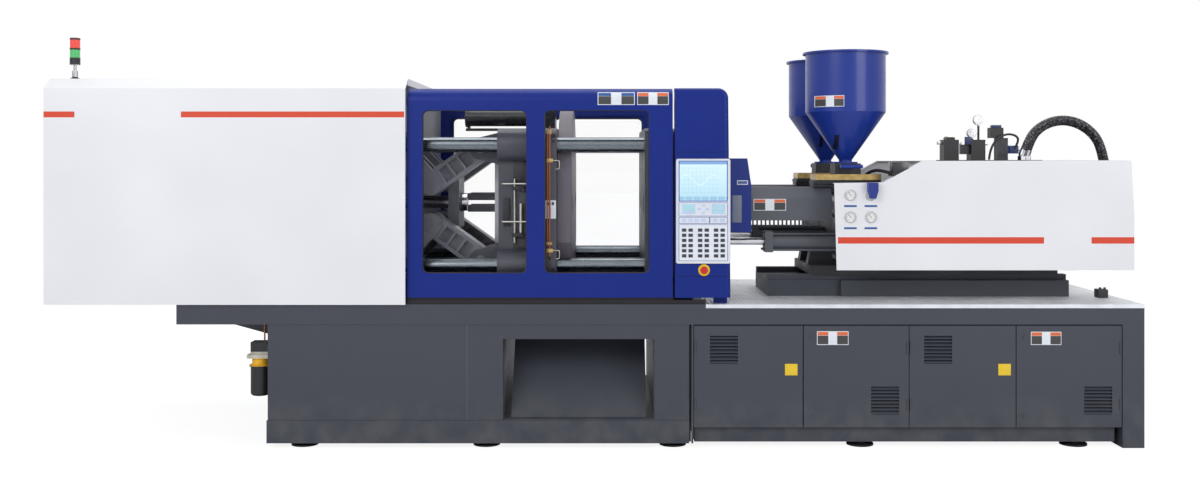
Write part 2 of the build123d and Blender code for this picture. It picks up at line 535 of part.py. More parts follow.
# Rear links: two cheeks with a web between them, and the pins of the knee and of the rear platen.
def rear_links(mirror_z):
    web = link_point(REAR_PIVOT, KNEE_PIVOT, 0.5, 0, mirror_z)
    with BuildPart() as links:
        for cheek in REAR_CHEEKS_Y:
            for side in both_sides(cheek):
                with BuildSketch(Plane.XZ.offset(-side[1])) as outline:
                    link_outline(REAR_PIVOT, KNEE_PIVOT, LINK_END, mirror_z)
                extrude(outline.sketch, amount=side[1] - side[0])
        for side in both_sides((REAR_CHEEKS_Y[0][0], REAR_CHEEKS_Y[1][1])):
            cross_pin(web[0], web[1], side, 30)
        for side in both_sides((REAR_CHEEKS_Y[0][0] - 4, REAR_CHEEKS_Y[1][1] + 4)):
            cross_pin(REAR_PIVOT[0], AXIS_Z + mirror_z * REAR_PIVOT[1], side, PIN_RADIUS)
        for side in both_sides((CROSS_LINK_Y[0] - 4, REAR_CHEEKS_Y[1][1] + 4)):
            cross_pin(KNEE_PIVOT[0], AXIS_Z + mirror_z * KNEE_PIVOT[1], side, PIN_RADIUS)
    return links


# Short links between the crosshead's arms and the knees, on one through pin.
def crosshead_links(mirror_z):
    z = AXIS_Z + mirror_z * CROSS_PIVOT[1]
    with BuildPart() as links:
        for side in both_sides(CROSS_LINK_Y):
            with BuildSketch(Plane.XZ.offset(-side[1])) as outline:
                link_outline(CROSS_PIVOT, KNEE_PIVOT, 56, mirror_z)
            extrude(outline.sketch, amount=side[1] - side[0])
            cross_pin(KNEE_PIVOT[0], AXIS_Z + mirror_z * KNEE_PIVOT[1], side, PIN_RADIUS + 6, Mode.SUBTRACT)
        cross_pin(CROSS_PIVOT[0], z, (-CROSS_LINK_Y[1], CROSS_LINK_Y[1]), CROSS_PIN)
    return links


for half, mirror_z in (("upper", 1), ("lower", -1)):
    save(front_links(mirror_z), f"front_links_{half}")
    save(rear_links(mirror_z), f"rear_links_{half}")
    save(crosshead_links(mirror_z), f"crosshead_links_{half}")

# Clamp hood: folded sheet cover with bevelled shoulders, open below and towards the mould space.
HOOD_RIGHT = -1118.0
HOOD_TOP = 2190.0
HOOD_SHOULDER = 2127.0
HOOD_SHEET = 6.0
BEVEL = 95.0


def hood_section(half, top, shoulder, bevel):
    """Cross-section outline of the hood in Y and Z."""
    return ((-half, BEAM_TOP), (-half, shoulder), (-half + bevel, top), (half - bevel, top),
            (half, shoulder), (half, BEAM_TOP))


with BuildPart() as clamp_hood:
    with BuildSketch(Plane.YZ.offset(END_LEFT)):
        with BuildLine():
            Polyline(*hood_section(HOOD_HALF, HOOD_TOP, HOOD_SHOULDER, BEVEL), close=True)
        make_face()
    extrude(amount=HOOD_RIGHT - END_LEFT)
    with BuildSketch(Plane.YZ.offset(END_LEFT + HOOD_SHEET)) as inside:
        with BuildLine():
            Polyline(*hood_section(HOOD_HALF - HOOD_SHEET, HOOD_TOP - HOOD_SHEET,
                                   HOOD_SHOULDER - HOOD_SHEET, BEVEL - HOOD_SHEET), close=True)
        make_face()
    extrude(inside.sketch, amount=HOOD_RIGHT - END_LEFT, mode=Mode.SUBTRACT)
    for side in both_sides((HOOD_HALF - 32, HOOD_HALF - HOOD_SHEET)):
        block((END_LEFT + HOOD_SHEET, HOOD_RIGHT), side, (BEAM_TOP, BEAM_TOP + 4))
    block((HOOD_RIGHT - 40, HOOD_RIGHT), (-HOOD_HALF + BEVEL, HOOD_HALF - BEVEL), (HOOD_TOP - 40, HOOD_TOP - 6))
save(clamp_hood, "clamp_hood")

# Signal tower: foot, ball joint, stem and black base, with two lenses on top.
TOWER = (-3139.0, -600.0)
LENS_RADIUS = 30.0
with BuildPart() as signal_tower:
    post(*TOWER, (HOOD_TOP, HOOD_TOP + 8), 26)
    post(*TOWER, (HOOD_TOP + 8, 2241), 17)
    post(*TOWER, (2241, 2278), 9)
    post(*TOWER, (2278, 2320), LENS_RADIUS)
    post(*TOWER, (2320, 2428), 8)
    post(*TOWER, (2368, 2378), LENS_RADIUS)
    post(*TOWER, (2428, 2440), LENS_RADIUS)
    chamfer(signal_tower.edges().filter_by(GeomType.CIRCLE).group_by(Axis.Z)[-1], 3)
save(signal_tower, "signal_tower")

for colour, z_span in (("green", (2320.0, 2368.0)), ("red", (2378.0, 2428.0))):
    with BuildPart() as lens:
        post(*TOWER, z_span, LENS_RADIUS - 1)
        post(*TOWER, z_span, 8, Mode.SUBTRACT)
    save(lens, f"signal_lens_{colour}")

# Sliding gates: pressed frame with a curved top and two windows, on a rail at each side.
GATE_LEFT = -1114.0
GATE_RIGHT = 461.0
GATE_BOTTOM = 889.0
GATE_TOP = 2130.0
GATE_FRONT = 735.0
GATE_THICK = 25.0
GATE_ROUND = 75.0
GATE_LIP = 60.0
GUIDE_DEPTH = 8.0
TRACK_LEFT = -2160.0
COLUMN_LEFT = 473.0
COLUMN_RIGHT = 804.0
WINDOW_SPANS = ((-1024.0, -405.0), (-300.0, 322.0))
WINDOW_Z = (1032.0, 1999.0)
WINDOW_ROUND = 35.0
PANE_THICK = 6.0
PANE_LAP = 22.0

with BuildPart() as gate_tracks:
    for side in both_sides((GATE_FRONT - 45, GATE_FRONT + 1)):
        block((TRACK_LEFT, DECK_LEFT), side, (BEAM_TOP, GATE_BOTTOM - 14))
    for side in both_sides((GATE_FRONT - 17, GATE_FRONT - 9)):
        block((TRACK_LEFT, GATE_RIGHT + 4), side, (GATE_BOTTOM - 14, GATE_BOTTOM + GUIDE_DEPTH - 2))
save(gate_tracks, "gate_tracks")


def gate_section(front, side):
    """Cross-section of a gate: upright wall that curves inwards at the top into a lip."""
    outer = GATE_ROUND
    inner = GATE_ROUND - GATE_THICK
    shoulder = GATE_TOP - GATE_ROUND
    bend = math.sqrt(0.5)
    with BuildLine() as outline:
        a = Line((side * front, GATE_BOTTOM), (side * front, shoulder))
        b = ThreePointArc(a @ 1, (side * (front - outer + outer * bend), shoulder + outer * bend),
                          (side * (front - outer), GATE_TOP))
        c = Line(b @ 1, (side * (front - outer - GATE_LIP), GATE_TOP))
        d = Line(c @ 1, (side * (front - outer - GATE_LIP), GATE_TOP - GATE_THICK))
        e = Line(d @ 1, (side * (front - outer), GATE_TOP - GATE_THICK))
        f = ThreePointArc(e @ 1, (side * (front - outer + inner * bend), shoulder + inner * bend),
                          (side * (front - GATE_THICK), shoulder))
        g = Line(f @ 1, (side * (front - GATE_THICK), GATE_BOTTOM))
        Line(g @ 1, a @ 0)
    make_face(outline.edges())


for place, side in (("front", -1), ("rear", 1)):
    wall = sorted((side * (GATE_FRONT - GATE_THICK), side * GATE_FRONT))
    with BuildPart() as gate:
        with BuildSketch(Plane.YZ.offset(GATE_LEFT)) as section:
            gate_section(GATE_FRONT, side)
        extrude(amount=GATE_RIGHT - GATE_LEFT)
        with BuildSketch(Plane.XZ.offset(-wall[1])) as windows:
            for span in WINDOW_SPANS:
                with Locations((sum(span) / 2, sum(WINDOW_Z) / 2)):
                    RectangleRounded(span[1] - span[0], WINDOW_Z[1] - WINDOW_Z[0], WINDOW_ROUND)
        extrude(windows.sketch, amount=GATE_THICK, mode=Mode.SUBTRACT)
        groove = sorted((side * (GATE_FRONT - 19), side * (GATE_FRONT - 7)))
        block((GATE_LEFT, GATE_RIGHT), groove, (GATE_BOTTOM, GATE_BOTTOM + GUIDE_DEPTH), Mode.SUBTRACT)
    save(gate, f"{place}_gate")
    pane_y = sorted((side * (GATE_FRONT - GATE_THICK - PANE_THICK), side * (GATE_FRONT - GATE_THICK)))
    with BuildPart() as panes:
        with BuildSketch(Plane.XZ.offset(-pane_y[1])) as sheets:
            for span in WINDOW_SPANS:
                with Locations((sum(span) / 2, sum(WINDOW_Z) / 2)):
                    RectangleRounded(span[1] - span[0] + 2 * PANE_LAP,
                                     WINDOW_Z[1] - WINDOW_Z[0] + 2 * PANE_LAP, WINDOW_ROUND)
        extrude(sheets.sketch, amount=PANE_THICK)
    save(panes, f"{place}_gate_panes")

# Control column: fixed panel beside the gate, with a rounded upper corner and a slightly raked edge.
COLUMN_FACE = -745.0
COLUMN_BACK = -645.0
COLUMN_ROUND = 60.0
STOP_X = 645.0
STOP_Z = 1053.0
with BuildPart() as control_column:
    plate(((COLUMN_LEFT, GATE_BOTTOM), (COLUMN_RIGHT, GATE_BOTTOM), (COLUMN_RIGHT - 14, GATE_TOP),
           (COLUMN_LEFT, GATE_TOP)), (COLUMN_FACE, COLUMN_BACK))
    fillet(control_column.edges().filter_by(Axis.Y).group_by(Axis.Z)[-1].sort_by(Axis.X)[-1], COLUMN_ROUND)
    fillet(control_column.edges().filter_by(Axis.X).group_by(Axis.Y)[0].sort_by(Axis.Z)[-1], 25)
    block((COLUMN_LEFT + 12, COLUMN_RIGHT - 16), (COLUMN_FACE + 12, COLUMN_BACK), (GATE_BOTTOM, GATE_TOP - 80),
          Mode.SUBTRACT)
    block((COLUMN_LEFT + 30, COLUMN_LEFT + 110), (-680, COLUMN_BACK), (BEAM_TOP, GATE_BOTTOM + 60))
    block((COLUMN_RIGHT - 96, COLUMN_RIGHT - 16), (-680, COLUMN_BACK), (BEAM_TOP, GATE_BOTTOM + 60))
    block((COLUMN_LEFT + 12, COLUMN_RIGHT - 16), (COLUMN_BACK - 6, COLUMN_BACK), (GATE_BOTTOM, GATE_TOP - 80))
    cross_pin(STOP_X, STOP_Z, (COLUMN_FACE, COLUMN_FACE + 12), 11, Mode.SUBTRACT)
save(control_column, "control_column")

# Controller: moulded bezel with a recess for the screen.
BEZEL_X = (479.0, 800.0)
BEZEL_Z = (1092.0, 1711.0)
BEZEL_THICK = 14.0
SCREEN_X = (494.0, 785.0)
SCREEN_Z = (1459.0, 1700.0)
with BuildPart() as controller_bezel:
    with BuildSketch(Plane.XZ.offset(-COLUMN_FACE)):
        with Locations((sum(BEZEL_X) / 2, sum(BEZEL_Z) / 2)):
            RectangleRounded(BEZEL_X[1] - BEZEL_X[0], BEZEL_Z[1] - BEZEL_Z[0], 12)
    extrude(amount=BEZEL_THICK)
    chamfer(controller_bezel.faces().sort_by(Axis.Y)[0].outer_wire().edges(), 3)
    block(SCREEN_X, (COLUMN_FACE - BEZEL_THICK, COLUMN_FACE - BEZEL_THICK + 5), SCREEN_Z, Mode.SUBTRACT)
save(controller_bezel, "controller_bezel")

with BuildPart() as screen:
    block((SCREEN_X[0] + 0.5, SCREEN_X[1] - 0.5), (COLUMN_FACE - BEZEL_THICK + 1, COLUMN_FACE - BEZEL_THICK + 5),
          (SCREEN_Z[0] + 0.5, SCREEN_Z[1] - 0.5))
save(screen, "screen")

# Emergency stop: mushroom head on a stem that plunges into the column.
with BuildPart() as e_stop_button:
    with BuildSketch(Plane.XZ.offset(-COLUMN_FACE - 10)) as stem:
        with Locations((STOP_X, STOP_Z)):
            Circle(9)
    extrude(stem.sketch, amount=22)
    with BuildSketch(Plane.XZ.offset(-COLUMN_FACE + 10)) as head:
        with Locations((STOP_X, STOP_Z)):
            Circle(22)
    extrude(head.sketch, amount=14)
    fillet(e_stop_button.edges().filter_by(GeomType.CIRCLE).group_by(Axis.Y)[0], 5)
save(e_stop_button, "e_stop_button")

# Purge guard: hinged hood over both nozzles, open below and towards the barrels.
GUARD_LEFT = 594.0
GUARD_RIGHT = 960.0
GUARD_SHOULDER_X = 936.0
GUARD_SHOULDER_Z = 1549.0
GUARD_BOTTOM = 1258.0
GUARD_TOP = 1714.0
GUARD_HALF = 450.0
GUARD_SHEET = 4.0
GUARD_WINDOW_X = (839.0, 902.0)
GUARD_WINDOW_Z = (1316.0, 1488.0)
with BuildPart() as purge_guard:
    outline = ((GUARD_LEFT, GUARD_BOTTOM), (GUARD_RIGHT, GUARD_BOTTOM), (GUARD_RIGHT, GUARD_SHOULDER_Z),
               (GUARD_SHOULDER_X, GUARD_TOP), (GUARD_LEFT, GUARD_TOP))
    plate(outline, (-GUARD_HALF, GUARD_HALF))
    inner = ((GUARD_LEFT - 1, GUARD_BOTTOM - 1), (GUARD_RIGHT + 1, GUARD_BOTTOM - 1),
             (GUARD_RIGHT + 1, GUARD_TOP - GUARD_SHEET), (GUARD_LEFT - 1, GUARD_TOP - GUARD_SHEET))
    plate(inner, (-GUARD_HALF + GUARD_SHEET, GUARD_HALF - GUARD_SHEET), Mode.SUBTRACT)
    block(GUARD_WINDOW_X, (-GUARD_HALF, -GUARD_HALF + 2), GUARD_WINDOW_Z, Mode.SUBTRACT)
    for side in both_sides((GUARD_HALF - 120, GUARD_HALF - 40)):
        cross_pin(GUARD_LEFT + 8, GUARD_TOP, side, 7)
save(purge_guard, "purge_guard")

# Base of the injection end: cast beam with two rails.
BASE_LEFT = 1080.0
BASE_X = (1534.0, 2960.0)
BASE_HALF = 338.0
BASE_TOP = 951.0
SLIDE_TOP = 985.0
with BuildPart() as injection_base:
    block(BASE_X, (-BASE_HALF, BASE_HALF), (BEAM_TOP, BASE_TOP))
    block((BASE_X[0] + 60, BASE_X[1] - 60), (-180, 180), (BEAM_TOP + 20, BASE_TOP), Mode.SUBTRACT)
    block((BASE_LEFT, BASE_X[0]), (-300, 300), (BEAM_TOP, BASE_TOP))
    for side in both_sides((230, 290)):
        block((BASE_LEFT, BASE_X[1]), side, (BASE_TOP, SLIDE_TOP))
save(injection_base, "injection_base")

# Carriage: sliding frame that carries the barrels, the injection cylinders and the covers.
CARRIAGE_X = (1345.0, 2900.0)
COVER_HALF = 630.0
COVER_SHEET = 4.0
BARREL_SEAT = 70.0
with BuildPart() as carriage_frame:
    block(CARRIAGE_X, (-310, 310), (SLIDE_TOP + SEAT, 1040))
    for x_span in ((1600, 1660), (2820, 2880)):
        block(x_span, (COVER_SHEET - COVER_HALF, COVER_HALF - COVER_SHEET), (1040, 1090))
    block((1540, 1730), (-500, 500), (1090, 1530))
    for side in both_sides((120, 205)):
        plate(((1350, 1040), (1515, 1040), (1500, 1120), (1365, 1120)), side)
    block((2250, 2400), (-500, 500), (1090, 1530))
    block((2250, 2400), (-310, 310), (1040, 1090))
    for y in (-UNIT_Y, UNIT_Y):
        rod((1540, y, AXIS_Z), 190, BARREL_SEAT, Mode.SUBTRACT)
        rod((2250, y, AXIS_Z), 150, 62, Mode.SUBTRACT)
        for dz in (-60, 60):
            for dy in (-110, 110):
                rod((1730, y + dy, AXIS_Z + dz), 520, 20)
    block((1540, 1730), (-150, 150), (1330, 1530), Mode.SUBTRACT)
save(carriage_frame, "carriage_frame")

# Plasticising barrels with heater bands and nozzles, one for each component.
NOZZLE_TIP = 560.0
BARREL_BODY = 68.0
BAND_RADIUS = 80.0
BARREL_BORE = 25.05
with BuildPart() as barrels:
    for y in (-UNIT_Y, UNIT_Y):
        turning_axis = Axis((0, y, AXIS_Z), (1, 0, 0))
        with BuildSketch(Plane.XZ.offset(-y)) as profile:
            with BuildLine():
                Polyline((NOZZLE_TIP, AXIS_Z), (NOZZLE_TIP, AXIS_Z + 12), (NOZZLE_TIP + 14, AXIS_Z + 26),
                         (690, AXIS_Z + 30), (690, AXIS_Z + 62), (770, AXIS_Z + 62), (770, AXIS_Z + BARREL_BODY),
                         (1540, AXIS_Z + BARREL_BODY), (1540, AXIS_Z + BARREL_SEAT), (1730, AXIS_Z + BARREL_SEAT),
                         (1730, AXIS_Z), close=True)
            make_face()
        revolve(profile.sketch, axis=turning_axis)
        for start in (600, 790, 880, 970, 1060, 1150, 1240, 1330, 1420):
            rod((start, y, AXIS_Z), 70, BAND_RADIUS if start > 700 else 42)
        rod((700, y, AXIS_Z), 1040, BARREL_BORE, Mode.SUBTRACT)
save(barrels, "barrels")

# Screws with their drives: splined shank, thrust housing and hydraulic motor.
for place, y in (("front", -UNIT_Y), ("rear", UNIT_Y)):
    with BuildPart() as screw:
        rod((705, y, AXIS_Z), 1100, BARREL_BORE - 0.05)
        rod((1805, y, AXIS_Z), 160, 60)
        rod((1965, y, AXIS_Z), 120, 95)
        rod((2085, y, AXIS_Z), 300, 61)
        chamfer(screw.edges().filter_by(GeomType.CIRCLE).group_by(Axis.X)[0], 12)
    save(screw, f"screw_{place}")

# Injection cylinders behind the carriage's rear plate.
with BuildPart() as injection_cylinders:
    for y in (-UNIT_Y, UNIT_Y):
        rod((2400, y, AXIS_Z), 480, 125)
        block((2400, 2450), (y - 140, y + 140), (AXIS_Z - 140, AXIS_Z + 140))
        block((2830, 2880), (y - 140, y + 140), (AXIS_Z - 140, AXIS_Z + 140))
        rod((2400, y, AXIS_Z), 240, 62, Mode.SUBTRACT)
save(injection_cylinders, "injection_cylinders")

# Barrel covers: perforated-bottomed sheet channels with bevelled shoulders over the heater bands.
BARREL_COVER_X = (954.0, 1460.0)
BARREL_COVER_HALF = 100.0
with BuildPart() as barrel_covers:
    for y in (-UNIT_Y, UNIT_Y):
        for grow, mode in ((0.0, Mode.ADD), (-3.0, Mode.SUBTRACT)):
            half = BARREL_COVER_HALF + grow
            top = 1536 + grow
            with BuildSketch(Plane.YZ.offset(BARREL_COVER_X[0])) as channel:
                with BuildLine():
                    Polyline((y - half, 1331), (y - half, 1470), (y - half + 55, top), (y + half - 55, top),
                             (y + half, 1470), (y + half, 1331), close=True)
                make_face()
            extrude(channel.sketch, amount=BARREL_COVER_X[1] - BARREL_COVER_X[0], mode=mode)
        for x in (1000, 1350):
            for side in ((y - BARREL_COVER_HALF + 3, y - BAND_RADIUS), (y + BAND_RADIUS, y + BARREL_COVER_HALF - 3)):
                block((x, x + 20), side, (AXIS_Z - 6, AXIS_Z + 6))
save(barrel_covers, "barrel_covers")

# Carriage cylinders below the barrels, and their rods, which are anchored in the fixed platen.
TRAVERSE_Z = 1196.0
with BuildPart() as carriage_cylinders:
    for y in (-UNIT_Y, UNIT_Y):
        rod((1052, y, TRAVERSE_Z), 488, 54)
        block((1052, 1101), (y - 64, y + 64), (TRAVERSE_Z - 64, TRAVERSE_Z + 64))
        for dy in (-50, 50):
            for dz in (-50, 50):
                rod((1040, y + dy, TRAVERSE_Z + dz), 500, 7)
        rod((1052, y, TRAVERSE_Z), 400, 22.05, Mode.SUBTRACT)
save(carriage_cylinders, "carriage_cylinders")

with BuildPart() as carriage_rods:
    for y in (-UNIT_Y, UNIT_Y):
        rod((FIXED_RIGHT, y, TRAVERSE_Z), 1150 - FIXED_RIGHT, 22)
        rod((FIXED_RIGHT, y, TRAVERSE_Z), 34, 46)
save(carriage_rods, "carriage_rods")

# Injection cover: white sheet housing, open below, open towards the barrels and open on top.
COVER_OUTLINE = ((1452.0, 1041.0), (1437.0, 1565.0), (1730.0, 1569.0), (1970.0, 1698.0),
                 (3223.0, 1702.0), (3241.0, 1370.0), (3241.0, 1041.0))
GAUGE_X = (1534.0, 1657.0)
GAUGE_Z = (1493.0, 1360.0)
GAUGE_RADIUS = 35.0
SPOUT_X = 1663.0
with BuildPart() as injection_covers:
    plate(COVER_OUTLINE, (-COVER_HALF, COVER_HALF))
    wall = COVER_SHEET
    inner = ((1400.0, 1000.0), (1400.0, 1760.0), (3223.0 - wall, 1760.0), (3223.0 - wall, 1702.0),
             (3241.0 - wall, 1370.0), (3241.0 - wall, 1000.0))
    plate(inner, (-COVER_HALF + wall, COVER_HALF - wall), Mode.SUBTRACT)
    top_run = ((1437.0, 1565.0), (1730.0, 1569.0), (1970.0, 1698.0), (3223.0, 1702.0))
    flange = top_run + tuple((x, z - wall) for x, z in reversed(top_run))
    for side in both_sides((COVER_HALF - 45, COVER_HALF)):
        plate(flange, side)
    for x in GAUGE_X:
        for z in GAUGE_Z:
            cross_pin(x, z, (-COVER_HALF - 8, -COVER_HALF), GAUGE_RADIUS)
            cross_pin(x, z, (-COVER_HALF - 8, -COVER_HALF - 4), GAUGE_RADIUS - 5, Mode.SUBTRACT)
    with BuildSketch(Plane.XZ.offset(COVER_HALF)) as spout:
        with BuildLine():
            Polyline((SPOUT_X - 30, 1568), (SPOUT_X + 30, 1568), (SPOUT_X + 30, 1520), (SPOUT_X + 16, 1473),
                     (SPOUT_X - 16, 1473), (SPOUT_X - 30, 1520), close=True)
        make_face()
    extrude(spout.sketch, amount=48)
save(injection_covers, "injection_covers")

# Feed throats: water-cooled block on the barrel seat, support plates and the slide-gate housing.
HOPPER_X = 1561.0
THROAT_BORE = 38.0
GATE_PLATE_Z = (1660.0, 1668.0)
THROAT_TOP = 1683.0
with BuildPart() as feed_throats:
    for y in (-UNIT_Y, UNIT_Y):
        block((1349, 1489), (y - 70, y + 70), (1537, 1558))
        block((1540, 1640), (y - 75, y + 75), (1530, 1558))
        block((1349, 1762), (y - 95, y + 95), (1558, 1573))
        block((1358, 1762), (y - 100, y + 100), (1573, 1616))
        block((HOPPER_X - 80, HOPPER_X + 80), (y - 80, y + 80), (1616, THROAT_TOP))
        post(HOPPER_X, y, (1500, THROAT_TOP), THROAT_BORE, Mode.SUBTRACT)
        slot_y = (y - 80, y + 60) if y < 0 else (y - 60, y + 80)
        block((HOPPER_X - 55.3, HOPPER_X + 55.3), slot_y, GATE_PLATE_Z, Mode.SUBTRACT)
save(feed_throats, "feed_throats")

# Slide gates of the hoppers, each a plate with a slot hole and a T-handle.
GATE_PLATE_HALF = 55.0
HANDLE_REACH = 190.0
for place, side in (("front", -1), ("rear", 1)):
    y = side * UNIT_Y
    with BuildPart() as hopper_gate:
        block((HOPPER_X - GATE_PLATE_HALF, HOPPER_X + GATE_PLATE_HALF), sorted((y - side * 55, y + side * 110)),
              (GATE_PLATE_Z[0] + 0.5, GATE_PLATE_Z[1] - 0.5))
        cross_pin(HOPPER_X, sum(GATE_PLATE_Z) / 2, sorted((y + side * 100, y + side * HANDLE_REACH)), 8)
        rod((HOPPER_X - 68, y + side * HANDLE_REACH, sum(GATE_PLATE_Z) / 2), 136, 12)
        chamfer(hopper_gate.edges().filter_by(GeomType.CIRCLE).group_by(Axis.X)[0], 3)
        chamfer(hopper_gate.edges().filter_by(GeomType.CIRCLE).group_by(Axis.X)[-1], 3)
    save(hopper_gate, f"hopper_gate_{place}")

# Material hoppers: spun shells with a rolled rim, a straight wall, a cone and a neck flange.
HOPPER_TOP = 2373.0
HOPPER_RADIUS = 247.0
HOPPER_RIM = 264.0
CONE_TOP = 2001.0
HOPPER_WALL = 3.0
with BuildPart() as hoppers:
    for y in (-UNIT_Y, UNIT_Y):
        with BuildSketch(Plane.XZ.offset(-y)) as profile:
            with BuildLine():
                Polyline((HOPPER_X + THROAT_BORE, THROAT_TOP), (HOPPER_X + 75, THROAT_TOP),
                         (HOPPER_X + 75, THROAT_TOP + 10), (HOPPER_X + THROAT_BORE + HOPPER_WALL, THROAT_TOP + 10),
                         (HOPPER_X + THROAT_BORE + HOPPER_WALL, THROAT_TOP + 22),
                         (HOPPER_X + HOPPER_RADIUS, CONE_TOP), (HOPPER_X + HOPPER_RADIUS, HOPPER_TOP - 12),
                         (HOPPER_X + HOPPER_RIM, HOPPER_TOP - 12), (HOPPER_X + HOPPER_RIM, HOPPER_TOP),
                         (HOPPER_X + HOPPER_RADIUS - HOPPER_WALL, HOPPER_TOP),
                         (HOPPER_X + HOPPER_RADIUS - HOPPER_WALL, CONE_TOP),
                         (HOPPER_X + THROAT_BORE, THROAT_TOP + 22), close=True)
            make_face()
        revolve(profile.sketch, axis=Axis((HOPPER_X, y, 0), (0, 0, 1)))
save(hoppers, "hoppers")

# Valve manifold on the injection cylinders: block, valves, solenoids, gauges and hose fittings.
MANIFOLD_TOP = 1704.0
VALVE_Y = -343.0
HOSE_RADIUS = 22.0
FERRULE = 32.0
RETURN_SHELF = 1610.0
HOSE_ROUTES = (
    ((2668, -365, 1765), (2701, -365, 1853), (2766, -366, 1919), (2851, -367, 1957), (2944, -368, 1962),
     (3034, -368, 1933), (3108, -367, 1874), (3156, -366, 1793), (3176, -365, 1700)),
    ((2714, -315, 1765), (2742, -315, 1848), (2803, -314, 1908), (2884, -312, 1941), (2970, -312, 1942),
     (3052, -313, 1911), (3120, -314, 1855), (3160, -315, 1783), (3176, -315, 1700)),
)
with BuildPart() as valve_manifold:
    block((2420, 2860), (VALVE_Y - 90, VALVE_Y + 90), (AXIS_Z + 140, 1600))
    block((2150, 2760), (VALVE_Y - 90, VALVE_Y + 90), (1600, MANIFOLD_TOP))
    chamfer(valve_manifold.edges().filter_by(Axis.Z).group_by(Axis.X)[0], 10)
    block((2164, 2256), (VALVE_Y - 50, VALVE_Y + 50), (MANIFOLD_TOP, 1830))
    block((2184, 2236), (VALVE_Y - 36, VALVE_Y + 36), (1830, 1845))
    block((2333, 2421), (VALVE_Y - 50, VALVE_Y + 50), (MANIFOLD_TOP, 1830))
    block((2280, 2333), (VALVE_Y - 25, VALVE_Y + 25), (1740, 1800))
    post(2351, VALVE_Y, (1830, 1850), 9)
    cross_pin(2351, 1873, (VALVE_Y - 18, VALVE_Y + 18), 29)
    post(2392, VALVE_Y, (1830, 1925), 7)
    cross_pin(2392, 1954, (VALVE_Y - 16, VALVE_Y + 16), 32)
    block((2502, 2564), (VALVE_Y - 40, VALVE_Y + 40), (MANIFOLD_TOP, 1841))
    block((2458, 2539), (VALVE_Y - 32, VALVE_Y + 32), (1841, 1905))
    block((2570, 2633), (VALVE_Y - 30, VALVE_Y + 30), (1744, 1794))
    block((2564, 2570), (VALVE_Y - 20, VALVE_Y + 20), (1730, 1800))
    block((2760, 3210), (VALVE_Y - 60, VALVE_Y + 60), (RETURN_SHELF - 40, RETURN_SHELF))
    for route in HOSE_ROUTES:
        for end, inner, seat in ((route[0], route[1], MANIFOLD_TOP), (route[-1], route[-2], RETURN_SHELF)):
            mouth = Vector(*end)
            outward = (Vector(*inner) - mouth).normalized()
            elbow = mouth - outward * FERRULE
            with BuildSketch(Plane(origin=mouth, z_dir=outward)) as ferrule:
                Circle(HOSE_RADIUS)
            extrude(ferrule.sketch, amount=-FERRULE)
            with BuildSketch(Plane.XY.offset(seat)) as nut:
                with Locations((elbow.X, elbow.Y)):
                    RegularPolygon(27, 6)
            extrude(nut.sketch, amount=24)
            post(elbow.X, elbow.Y, (seat + 24, elbow.Z + 4), HOSE_RADIUS - 2)
save(valve_manifold, "valve_manifold")


def hose_tube(route, radius):
    """Round hose along straight runs joined by arcs as wide as the runs allow, and its bend radii."""
    points = [Vector(*point) for point in route]
    runs = [(b - a).length for a, b in zip(points, points[1:])]
    radii = []
    for index in range(1, len(points) - 1):
        turn = math.radians((points[index] - points[index - 1]).get_angle(points[index + 1] - points[index]))
        radii.append(0.45 * min(runs[index - 1], runs[index]) / math.tan(turn / 2))
    with BuildPart() as tube:
        with BuildLine() as path:
            FilletPolyline(*points, radius=radii)
        wire = path.wires()[0]
        with BuildSketch(Plane(origin=wire @ 0, z_dir=wire % 0)):
            Circle(radius)
        sweep(path=wire)
    filled = tube.part.volume / (math.pi * radius ** 2 * wire.length)
    print("hose", round(wire.length), "mm, radii", [round(value) for value in radii])
    print("hose volume over section times length", round(filled, 4))
    return tube


# Pressure hoses from the manifold to the end of the cover, in one long arch each.
for place, route in zip(("front", "rear"), HOSE_ROUTES):
    save(hose_tube(route, HOSE_RADIUS), f"pressure_hose_{place}")
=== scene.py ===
# %% [markdown]
# # An injection moulding machine, finished around its CAD frame
#
# The real machine is a steel bed with a clamp on the left, a mould space behind
# sliding windows, and two plasticising barrels with hoppers on the right. Its
# solids come from CAD at their real size, so nothing is fitted by eye here.
# Blender adds what a solid can't hold: paint, castings, ground steel, the
# chequered deck, small fittings and light. The imported solids are loaded first.

# %% Load the frame
import math

import bmesh
import bpy
from mathutils import Matrix, Vector


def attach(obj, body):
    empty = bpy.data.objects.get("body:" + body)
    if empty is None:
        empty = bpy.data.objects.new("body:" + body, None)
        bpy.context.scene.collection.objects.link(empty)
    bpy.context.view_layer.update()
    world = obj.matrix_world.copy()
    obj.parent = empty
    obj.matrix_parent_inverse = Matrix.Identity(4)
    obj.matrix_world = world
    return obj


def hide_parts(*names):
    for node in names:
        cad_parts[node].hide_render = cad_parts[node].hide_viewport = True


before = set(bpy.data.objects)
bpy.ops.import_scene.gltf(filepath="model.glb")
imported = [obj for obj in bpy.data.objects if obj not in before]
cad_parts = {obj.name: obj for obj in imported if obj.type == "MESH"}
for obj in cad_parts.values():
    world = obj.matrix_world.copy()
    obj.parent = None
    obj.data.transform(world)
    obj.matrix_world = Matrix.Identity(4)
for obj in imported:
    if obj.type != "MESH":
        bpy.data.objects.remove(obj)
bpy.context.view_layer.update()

MM = 0.001
SHARP_ANGLE = math.radians(35)
TOUCHING = 1e-6
scene = bpy.context.scene

# %% [markdown]
# ## The camera
#
# The photograph is a product picture: the camera stands square to the front,
# at eye height, about seven metres away. A camera that looks straight along Y
# keeps the uprights upright, and a small shift of the lens frames the machine
# as the picture does.

